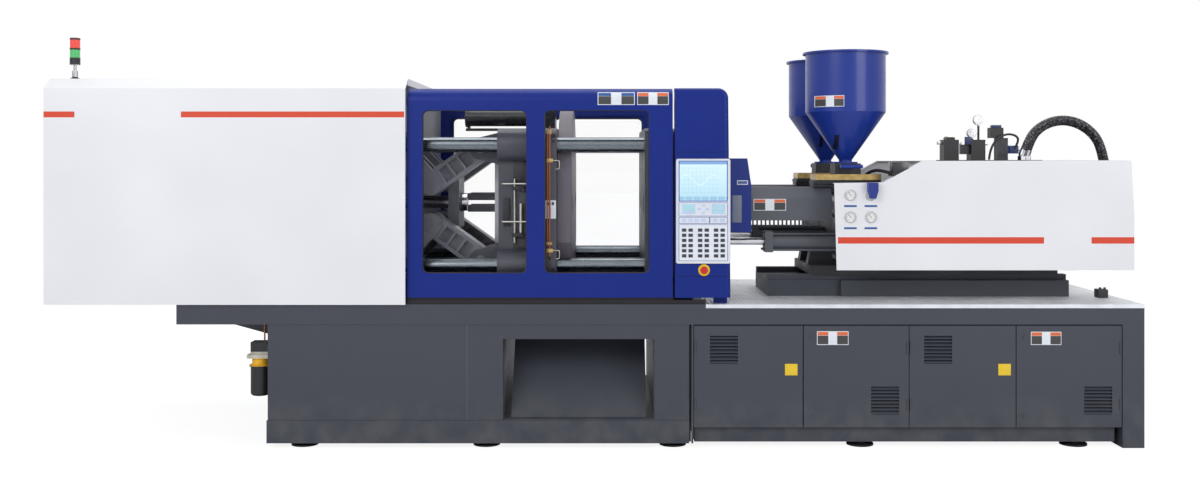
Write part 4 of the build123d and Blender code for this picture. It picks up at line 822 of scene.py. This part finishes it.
def soften(mesh, verts, width):
    edges = list({edge for vertex in verts for edge in vertex.link_edges})
    bmesh.ops.bevel(mesh, geom=edges, offset=width * MM, segments=2, profile=0.6,
                    affect="EDGES", clamp_overlap=True)


def spans_of(fields, x_span, z_span):
    """The spans along X and Z of each field, which has them as shares of the whole plate."""
    width, height = x_span[1] - x_span[0], z_span[1] - z_span[0]
    for x_share, z_share, _ in fields:
        yield ([x_span[0] + width * share for share in x_share],
               [z_span[0] + height * share for share in z_share])


def dress_fields(piece, fields, body):
    """Gives a plate the finish of each of its fields, and its body."""
    for *_, finish in fields:
        piece.data.materials.append(finish)
    return dress(piece, None, body)


PLATE_THICKNESS = 1.2


def plate(name, x_span, z_span, y_face, body, fields, thickness=PLATE_THICKNESS):
    """A thin plate on a face that looks to the front.

    The first field is the plate itself; the others are (x span, z span, finish), as shares of it.
    """
    mesh = bmesh.new()
    for index, ((left, right), (bottom, top)) in enumerate(spans_of(fields, x_span, z_span)):
        rise = thickness * (1 + 0.16 * index)
        made = add_box(mesh, (left, y_face - rise, bottom), (right, y_face, top), index)
        if index == 0:
            soften(mesh, made, 0.4)
    return dress_fields(piece_from(name, mesh), fields, body)


WHOLE = (0.0, 1.0)
window_film = moulded("window_film", colour(128, 134, 150), 0.3, coat=0.3)
coil_plastic = moulded("coil_plastic", colour(40, 52, 96), 0.4)
pale_film = moulded("pale_film", colour(226, 228, 238), 0.35)
cyan_film = moulded("cyan_film", colour(178, 224, 234), 0.35)
ice_film = moulded("ice_film", colour(196, 214, 240), 0.35)
line_film = moulded("line_film", colour(76, 104, 168), 0.35)
key_film = moulded("key_film", colour(52, 53, 66), 0.4)
sign_blue = moulded("sign_blue", colour(40, 88, 150), 0.35)
sign_orange = moulded("sign_orange", colour(226, 108, 62), 0.35)
sign_dark = moulded("sign_dark", colour(62, 62, 62), 0.4)
sign_white = moulded("sign_white", colour(232, 236, 242), 0.35)
sign_yellow = moulded("sign_yellow", colour(240, 202, 40), 0.35)

# %% The fields and keys of the terminal
PANEL_FACE = -759.0
KEY_FACE = PANEL_FACE - 1
PANEL_X = (494, 785)
for name, z_span, fields in (
    ("function", (1372, 1455), [
        ((0.012, 0.988), (0.03, 0.97), pale_film), ((0.07, 0.34), (0.16, 0.86), cyan_film),
        ((0.67, 0.94), (0.16, 0.86), cyan_film), ((0.1, 0.31), (0.2, 0.4), ice_film)]),
    ("row", (1328, 1368), [
        ((0.012, 0.62), (0.08, 0.92), pale_film), ((0.64, 0.988), (0.08, 0.92), pale_film)]),
    ("key", (1108, 1323), [((0.012, 0.988), (0.012, 0.988), sign_white)]),
):
    plate(f"terminal_{name}_field", PANEL_X, z_span, PANEL_FACE, "machine_frame",
          [(WHOLE, WHOLE, line_film)] + fields, thickness=0.8)
KEY_COLUMNS = (526.5, 565, 621, 660, 715, 754)
KEY_ROWS = [1290 - 30.4 * row for row in range(6)]
grown("move_keys", keys, [(x, KEY_FACE, z) for x in KEY_COLUMNS for z in KEY_ROWS],
      key_film, "machine_frame", "black_metal")
for name, width, height, spots in (
    ("setting", 0.012, 0.009, [(700 + 19 * column, 1442 - 16 * row)
                               for column in range(4) for row in range(4)]),
    ("arrow", 0.018, 0.014, [(640, 1435), (640, 1393), (617, 1414), (663, 1414)]),
    ("function", 0.026, 0.018, [(x, 1348) for x in (525, 563, 601, 639, 710, 752)]),
):
    grown(f"{name}_keys", keys, [(x, KEY_FACE, z) for x, z in spots], ice_film, "machine_frame",
          "bezel_white", Width=width, Height=height, Depth=0.0018)

# %% Turned pieces: a profile swept round an axis
FRONTWARDS = (0, -1, 0)


def turned(name, centre, profile):
    """A closed turned shape that faces the front. profile lists (radius, height) in mm."""
    mesh = bmesh.new()
    line = [mesh.verts.new((radius * MM, 0, height * MM)) for radius, height in profile]
    edges = [mesh.edges.new(pair) for pair in zip(line, line[1:])]
    bmesh.ops.spin(mesh, geom=line + edges, cent=(0, 0, 0), axis=(0, 0, 1),
                   angle=2 * math.pi, steps=40, use_merge=True)
    bmesh.ops.remove_doubles(mesh, verts=mesh.verts, dist=TOUCHING)
    turn = Vector(FRONTWARDS).to_track_quat("Z", "Y").to_matrix().to_4x4()
    move = Matrix.Translation(Vector([part * MM for part in centre]))
    bmesh.ops.transform(mesh, matrix=move @ turn, verts=mesh.verts)
    return piece_from(name, mesh)


STOP_CENTRE = (645, -745, 1053)
stop_ring = turned("stop_button_ring", STOP_CENTRE, [
    (0, 0), (34.6, 0), (34.6, 3), (33, 4.5), (24, 4.5), (22.5, 6), (17, 6), (15, 8), (0, 8)])
dress(stop_ring, yellow_plastic, "machine_frame")

# %% [markdown]
# ## Plates on doors, gates and hoppers
#
# The real machine carries coloured plates with words and signs. Here each place
# has a plate of the same size and colours with nothing on it. A plate on a
# rounded surface has to follow it, so its box is cut into strips and every
# point is laid onto the surface by a small rule: the depth for a given x and z.

# %% Plates that follow a surface
def laid_plate(name, x_span, z_span, depth_at, body, fields):
    """A plate of coloured fields on a curved face, whose y in mm is depth_at(x, z)."""
    mesh = bmesh.new()
    for index, ((left, right), (bottom, top)) in enumerate(spans_of(fields, x_span, z_span)):
        rise = PLATE_THICKNESS + 0.15 * index
        made = add_box(mesh, (left, 0, bottom), (right, rise, top), index)
        edges = {edge for vertex in made for edge in vertex.link_edges}
        flat = [edge for edge in edges if abs(edge.verts[0].co.y - edge.verts[1].co.y) < TOUCHING]
        bmesh.ops.subdivide_edges(mesh, edges=flat, cuts=7, use_grid_fill=True)
    for vertex in mesh.verts:
        depth = depth_at(vertex.co.x / MM, vertex.co.z / MM)
        vertex.co.y = depth * MM - vertex.co.y
    piece = piece_from(name, mesh, smooth_below=math.radians(50))
    return dress_fields(piece, fields, body)


def three_fields(header):
    """Two dark fields with a coloured header, and a pale square between them."""
    return [
        (WHOLE, WHOLE, sign_white), ((0.02, 0.36), (0.05, 0.68), sign_dark),
        ((0.02, 0.36), (0.7, 0.95), header), ((0.64, 0.98), (0.05, 0.68), sign_dark),
        ((0.64, 0.98), (0.7, 0.95), header),
    ]


GATE_FACE = -735.0
GATE_CURVE = 75.0
GATE_CURVE_START = 2055.0


def gate_depth(x, z):
    rise = max(0.0, z - GATE_CURVE_START)
    return GATE_FACE + GATE_CURVE - math.sqrt(GATE_CURVE ** 2 - rise ** 2)


for name, x_span, header in (("blue", (16, 236), sign_blue), ("orange", (250, 437), sign_orange)):
    laid_plate(f"gate_plate_{name}", x_span, (2030, 2106), gate_depth, "gate_front",
               three_fields(header))
DOOR_FACE = -743.0
MARK_WIDTH = 74
for number, x_span, top in ((2, (1313, 1500), 691), (4, (2579, 2759), 688)):
    plate(f"door_{number}_plate", x_span, (610, top), DOOR_FACE, f"door_{number}",
          three_fields(sign_orange))
for number, left in ((1, 1124), (3, 2386)):
    plate(f"door_{number}_mark", (left, left + MARK_WIDTH), (430, 498), DOOR_FACE,
          f"door_{number}", [(WHOLE, WHOLE, sign_yellow)])
BARREL_COVER_FACE = -443.0
plate("barrel_cover_plate", (975, 1175), (1392, 1464), BARREL_COVER_FACE, "carriage",
      three_fields(sign_orange))

HOPPER_X, HOPPER_Y, HOPPER_R = 1561.0, 343.0, 247.0


def hopper_depth(x, z):
    return -HOPPER_Y - math.sqrt(HOPPER_R ** 2 - (x - HOPPER_X) ** 2)


laid_plate("hopper_plate", (1346, 1506), (2028, 2096), hopper_depth, "carriage",
           three_fields(sign_orange))

# %% [markdown]
# ## The chequer plate deck
#
# Behind the doors' top edge the deck is aluminium chequer plate, rolled with
# short raised tears that lie at right angles to their neighbours so that a
# boot never slips. Each tear is a flat cone of six sides, and a grid of points
# carries some thousands of them. Where the injection base stands, and at the
# deck's edges, there are none.

# %% Tears on the deck
tread = Growth("tread_plate", Length=0.024, Width=0.007, Height=0.0016, Pitch=0.026,
               Deck_Length=2.56, Deck_Width=1.44, Middle=(1.953, 0.0, 0.85),
               Base_Start=1.07, Base_Half=0.345)
tear = tread.node("GeometryNodeMeshCone", values={
    "Vertices": 6, "Radius Top": 0.22, "Radius Bottom": 0.5, "Depth": 1.0})
tear_size = tread.node("ShaderNodeCombineXYZ",
                       values=[tread["Length"], tread["Width"], tread["Height"]])
tear = tread.node("GeometryNodeTransform", values={"Geometry": tear, "Scale": tear_size})
along_count = tread["Deck_Length"] / tread["Pitch"]
across_count = tread["Deck_Width"] / tread["Pitch"]
rows = tread.node("GeometryNodeMeshGrid", values={
    "Size X": tread["Deck_Length"], "Size Y": tread["Deck_Width"],
    "Vertices X": along_count, "Vertices Y": across_count})
rows = tread.node("GeometryNodeTransform", values={
    "Geometry": rows, "Translation": tread["Middle"]})
spot = tread.node("ShaderNodeSeparateXYZ", values=[tread.node("GeometryNodeInputPosition")])
spot_y = Level(tread, spot.socket.node.outputs[1])
under_base = (spot > tread["Base_Start"]) * (spot_y.size() < tread["Base_Half"])
rows = tread.node("GeometryNodeDeleteGeometry", values={
    "Geometry": rows, "Selection": under_base})
lean = spot / tread["Pitch"] + spot_y / tread["Pitch"]
quarter = tread.node("ShaderNodeMath", {"operation": "FLOOR"}, [lean + 0.5])
turn = quarter.repeat(2.0) * math.radians(90) + math.radians(45)
tear_turn = tread.node("ShaderNodeCombineXYZ", values=[0.0, 0.0, turn])
tread.end(tread.place(tear, rows, Rotation=tear_turn))
grown("deck_tears", tread, [(1953, 0, 850)], deck_sheet, "machine_frame", "deck_aluminium")

# %% [markdown]
# ## Gauges on the injection cover
#
# Four round gauges show the pressure of the two units. A gauge is a turned
# steel ring with a white dial, a ring of tick marks and a dark pointer. The
# marks are plain bars placed round the dial, and a blue strip sits under each.

# %% Dials, ticks and pointers
COVER_FACE = -638.0
TICK = ((-1.0, -1.7, 19), (1.0, -1.2, 26))
POINTER = ((-1.2, -2.6, -6), (1.2, -1.9, 21))
DIAL_BARS = [(TICK, 27 * step - 135) for step in range(11)] + [(POINTER, -38)]
dial_white = moulded("dial_white", colour(236, 236, 232), 0.3, coat=0.6)
for name, x, z in (("upper_left", 1534, 1493), ("upper_right", 1657, 1493),
                   ("lower_left", 1534, 1360), ("lower_right", 1657, 1360)):
    rim = turned(f"gauge_rim_{name}", (x, COVER_FACE, z), [
        (28.5, 0), (34, 0), (34, 3), (32, 5), (29.5, 5), (28.5, 3), (28.5, 0)])
    dress(rim, ground_steel, "carriage")
    dial = turned(f"gauge_dial_{name}", (x, COVER_FACE, z), [
        (0, 0), (28.5, 0), (28.5, 1.2), (0, 1.2)])
    dress(dial, dial_white, "carriage")
    marks = bmesh.new()
    place = Matrix.Translation(Vector((x, COVER_FACE, z)) * MM)
    for corners, degrees in DIAL_BARS:
        spin = Matrix.Rotation(math.radians(degrees), 4, "Y")
        bmesh.ops.transform(marks, matrix=place @ spin, verts=add_box(marks, *corners))
    dress(piece_from(f"gauge_marks_{name}", marks), key_film, "carriage")
    plate(f"gauge_strip_{name}", (x - 38, x + 38), (z - 72, z - 60), COVER_FACE + 8, "carriage",
          [(WHOLE, WHOLE, sign_blue)], thickness=0.8)
print("four gauges made")

# %% [markdown]
# ## Pipes and fittings on the moving platen
#
# Two copper pipes run down the operator side of the moving platen and feed
# grease to its guides and pins through small brass blocks. Each one is bent
# near both ends, so it is a tube along a few straight runs whose corners are
# eased. All of it rides on the platen.

# %% Rigid pipes
EASE_STEPS = 6


def eased(route, radius):
    """Points along straight runs in millimetres, with each corner rounded by an arc."""
    places = [Vector(place) * MM for place in route]
    line = [places[0]]
    for before, corner, after in zip(places, places[1:], places[2:]):
        start = corner + (before - corner).normalized() * radius * MM
        end = corner + (after - corner).normalized() * radius * MM
        for step in range(EASE_STEPS + 1):
            share = step / EASE_STEPS
            line.append(start.lerp(corner, share).lerp(corner.lerp(end, share), share))
    return line + [places[-1]]


def pipe(name, route, diameter, finish, bend=14):
    """A rigid pipe on the moving platen, eased at its corners by the radius bend."""
    radius = diameter * MM / 2
    tube = tube_mesh(name, eased(route, bend), lambda walked, angle: radius, sides=12)
    return dress(tube, finish, "platen")


copper = ground_metal("drawn_copper", colour(196, 120, 88), 0.3, along="Z")
nickel = ground_metal("nickel_fitting", colour(222, 220, 210), 0.24)
PLATEN_FACE = -640
PIPE_Y = PLATEN_FACE - 12
for name, x, y, heights, diameter, bend in (
    ("main", -272, PIPE_Y, (1905, 1890, 1125, 1110), 9, 6),
    ("second", -285, -650, (1880, 1868, 1190, 1178), 6, 5),
):
    route = list(zip([x] * 4, (PLATEN_FACE, y, y, PLATEN_FACE), heights))
    pipe(f"grease_pipe_{name}", route, diameter, copper, bend)
for name, z in (("upper", 1700), ("lower", 1162)):
    pipe(f"grease_branch_{name}", [(-272, PIPE_Y, z), (-214, PIPE_Y, z), (-214, PIPE_Y, z - 50),
                                   (-236, PIPE_Y, z - 50)], 5, nickel, bend=10)
plate("grease_meter_plate", (-299, -235), (1352, 1462), PLATEN_FACE, "platen", [
    (WHOLE, WHOLE, sign_white), ((0.14, 0.36), (0.74, 0.9), sign_dark),
    ((0.6, 0.82), (0.74, 0.9), sign_dark), ((0.46, 0.5), (0.08, 0.92), sign_dark),
])

# %% Blocks, rods and brackets on the side of the platen
def fitting(name, boxes, finish, body, edge=2.0):
    """Softened blocks in millimetres that are joined into one piece."""
    mesh = bmesh.new()
    for low, high in boxes:
        soften(mesh, add_box(mesh, low, high), edge)
    return dress(piece_from(name, mesh), finish, body)


SIDE = -530.0
fitting("grease_blocks", [
    ((-292, -658, 1690), (-252, PLATEN_FACE, 1712)),
    ((-292, -658, 1150), (-252, PLATEN_FACE, 1172)),
    ((-290, -656, 1860), (-262, PLATEN_FACE, 1884)),
    ((-294, -656, 1196), (-258, PLATEN_FACE, 1212)),
    ((-548, SIDE - 22, 1846), (-520, SIDE, 1866)), ((-548, SIDE - 22, 1086), (-520, SIDE, 1106)),
], brass, "platen")
fitting("limit_bar_brackets", [
    ((-506, SIDE - 34, 1520), (-430, SIDE, 1544)), ((-506, SIDE - 34, 1236), (-430, SIDE, 1260)),
    ((-560, SIDE - 14, 1300), (-520, SIDE, 1470)),
], phosphated, "platen")
for name, x, top, foot, diameter in (("long", -490, 1590, 1200, 13),
                                     ("short", -452, 1440, 1262, 20)):
    pipe(f"limit_bar_{name}", [(x, SIDE - 24, top), (x, SIDE - 24, foot)], diameter, nickel)
for name, z, off in (("upper", 1560, 40), ("lower", 1330, 44)):
    pipe(f"oil_line_{name}", [(-566, SIDE, z), (-566, SIDE - off, z), (-400, SIDE - off, z),
                              (-400, SIDE, z)], 10, nickel)
# Three thin dark plates on the platen's side are painted shade: they stand for the dark recesses
# of the casting.
fitting("platen_side_shade_plates", [
    ((-500, SIDE - 3, 1562), (-360, SIDE, 1720)), ((-500, SIDE - 3, 1130), (-360, SIDE, 1232)),
    ((-430, SIDE - 3, 1290), (-360, SIDE, 1520)),
], dark_iron, "platen", edge=1.2)
grown("platen_screws", screw, [(x, SIDE - 3, z) for x in (-488, -372) for z in (1574, 1708)]
      + [(x, PLATEN_FACE, z) for x in (-325, -250) for z in (1000, 1045, 1815, 1850)],
      phosphated, "platen", "valve_dark", Radius=0.007, Height=0.006, Facing=TOWARDS_FRONT)

# %% [markdown]
# ## Window seals
#
# Each pane is held in a black rubber profile round the window: a round tube
# along the window's outline, with its corners eased.

# %% Rubber seals round the windows
def ring_route(x_span, z_span, y, radius, steps=6):
    """A closed route round a window with rounded corners, in metres."""
    route = []
    corners_at = ((x_span[1], z_span[1], 0), (x_span[0], z_span[1], 90),
                  (x_span[0], z_span[0], 180), (x_span[1], z_span[0], 270))
    middle_x, middle_z = sum(x_span) / 2, sum(z_span) / 2
    for x, z, start in corners_at:
        centre_x = x - math.copysign(radius, x - middle_x)
        centre_z = z - math.copysign(radius, z - middle_z)
        for step in range(steps + 1):
            angle = math.radians(start + 90 * step / steps)
            route.append(Vector((centre_x + radius * math.cos(angle), y,
                                 centre_z + radius * math.sin(angle))) * MM)
    return route + [route[0], route[1]]


WINDOWS_X = ((-1024, -405), (-300, 322))
WINDOW_Z = (1032, 1999)
SEAL_LINE = 712
WINDOW_CORNER = 35
SEAL_RADIUS = 0.005
for side, body, word in ((-1, "gate_front", "front"), (1, "gate_rear", "rear")):
    for number, x_span in enumerate(WINDOWS_X, 1):
        route = ring_route(x_span, WINDOW_Z, side * SEAL_LINE, WINDOW_CORNER)
        seal = tube_mesh(f"{word}_window_seal_{number}", route,
                         lambda walked, angle: SEAL_RADIUS, sides=8)
        dress(seal, black_plastic, body)

# %% [markdown]
# ## Small parts of the injection side
#
# The purge guard has a grey window plate and a small bare plate above it. A
# dark cable tray like a ladder hangs under the barrel covers. The valves on
# the manifold have side screws and coils. One short black cable arches over
# them to the last coil, and another runs from behind the feed throats to the
# terminal box. Their lengths are those of the stretches that show.

# %% Plates of the purge guard, the cable tray and the valves' fittings
GUARD_FACE = -450.0
plate("purge_guard_window", (840, 901), (1319, 1486), GUARD_FACE + 2, "guard",
      [(WHOLE, WHOLE, window_film), ((0.0, 0.12), WHOLE, line_film)])
plate("purge_guard_header", (872, 940), (1551, 1579), GUARD_FACE, "guard",
      [(WHOLE, WHOLE, sign_white), ((0.08, 0.92), (0.2, 0.8), line_film)])
fitting("cable_tray", [((965, -441, 1297), (1340, -421, 1304))]
        + [((x, -440, 1304), (x + 9, -422, 1331)) for x in range(968, 1332, 26)],
        dark_iron, "carriage", edge=0.8)
fitting("valve_side_screws", [
    ((2134, -356, 1800), (2164, -330, 1820)), ((2256, -356, 1800), (2284, -330, 1820)),
    ((2421, -354, 1796), (2450, -332, 1815)), ((2183, -352, 1845), (2236, -334, 1853)),
    ((2633, -354, 1758), (2646, -332, 1780)),
], nickel, "carriage")
fitting("valve_coils", [
    ((2296, -396, 1800), (2333, -372, 1848)), ((2474, -370, 1905), (2528, -316, 1922)),
    ((2576, -383, 1750), (2626, -373, 1788)),
], coil_plastic, "carriage")
fitting("terminal_box", [((1790, -626, 1606), (1886, -500, 1692))], motor_paint, "carriage",
        edge=4)
fitting("bed_terminal_box", [((3112, -420, 850), (3172, -350, 902)),
                             ((3122, -410, 902), (3134, -398, 915)),
                             ((3150, -410, 902), (3162, -398, 915))],
        dark_iron, "machine_frame")


# %% Short cables
def cable(name, route, diameter):
    line = spline_points(name + "_line", [Vector(place) * MM for place in route])
    skin = tube_mesh(name, line, lambda walked, angle: diameter * MM / 2, sides=12)
    dress(skin, black_plastic, "carriage")
    real = length_of(line)
    print(name, "is", round(real, 3), "m long")


cable("coil_cable", [(2440, -402, 1706), (2446, -402, 1765), (2484, -402, 1832),
                     (2548, -402, 1868), (2612, -400, 1856), (2628, -394, 1820),
                     (2604, -384, 1776)], 14)
cable("throat_cable", [(1668, -392, 1604), (1690, -430, 1632), (1738, -520, 1646),
                       (1793, -590, 1622)], 20)

# %% [markdown]
# ## Light, floor and backdrop
#
# A product picture of a large machine is lit by broad soft boxes: one from the
# front left, a weaker one from the right and one overhead that draws the top
# edges. The world is a pale grey that fills the shadows. The picture is cut
# out on white, so whatever the camera sees past the machine, straight or in a
# mirror or a pane, is white, while the floor keeps the soft shadow.

# %% The world and the lamps
world = bpy.data.worlds.new("studio")
world.use_nodes = True
scene.world = world
sky = Wiring()
sky.tree = world.node_tree
surround = sky.tree.nodes["Background"]
surround.inputs["Color"].default_value = (0.9, 0.93, 1.0, 1)
surround.inputs["Strength"].default_value = 0.5
white_card = sky.node("ShaderNodeBackground",
                      values={"Color": (1, 1, 1, 1), "Strength": 1.0})
straight, bent, mirrored = sky.rays("Camera", "Transmission", "Glossy")
seen = straight.sum("MAXIMUM", straight, bent)
seen = seen.sum("MAXIMUM", seen, mirrored)
chosen = sky.node("ShaderNodeMixShader",
                  values=[seen, Level(sky, surround.outputs[0]), white_card])
sky.feed(sky.tree.nodes["World Output"].inputs["Surface"], chosen)


def soft_box(name, place, aim, width, height, watts):
    data = bpy.data.lights.new(name, "AREA")
    data.shape = "RECTANGLE"
    data.size = width
    data.size_y = height
    data.energy = watts
    lamp = linked(name, data)
    lamp.location = place
    lamp.rotation_euler = (Vector(aim) - Vector(place)).to_track_quat("-Z", "Y").to_euler()


soft_box("front_left_box", (-4.5, -7.5, 5.0), (-0.5, 0, 1.2), 4.5, 3.0, 230)
soft_box("front_right_box", (5.5, -6.5, 3.5), (0.8, 0, 1.1), 3.5, 3.0, 130)
soft_box("overhead_box", (0, 0.5, 6.5), (0, 0, 1), 8.0, 3.0, 170)
print("lamps:", [item.name for item in bpy.data.lights])

# %% The floor
FLOOR_REACH = 60.0
FLOOR_HEIGHT = -0.001
FLOOR_GLOW = 1.25
GLOW_SHARE = 0.7
floor_mesh = bmesh.new()
floor_mesh.faces.new([floor_mesh.verts.new((x * FLOOR_REACH, y * FLOOR_REACH, FLOOR_HEIGHT))
                      for x, y in ((-1, -1), (1, -1), (1, 1), (-1, 1))])
floor = piece_from("studio_floor", floor_mesh)
paper = Finish("studio_paper", Roughness=0.9, Specular_IOR_Level=0.1)
paper_fibre = paper.noise(3, detail=2)
paper.wear(Base_Color=paper.blend(paper_fibre, colour(244, 244, 245), colour(250, 250, 250)))
glow = paper.node("ShaderNodeEmission", values={"Color": (1, 1, 1, 1), "Strength": FLOOR_GLOW})
straight, bent = paper.rays("Camera", "Transmission")
lit = Level(paper, paper.shader.outputs["BSDF"])
blended = paper.node("ShaderNodeMixShader", values=[(straight + bent) * GLOW_SHARE, lit, glow])
paper.feed(paper.tree.nodes["Material Output"].inputs["Surface"], blended)
floor.data.materials.append(paper.material)
scene.view_settings.view_transform = "Standard"
print("floor ready")
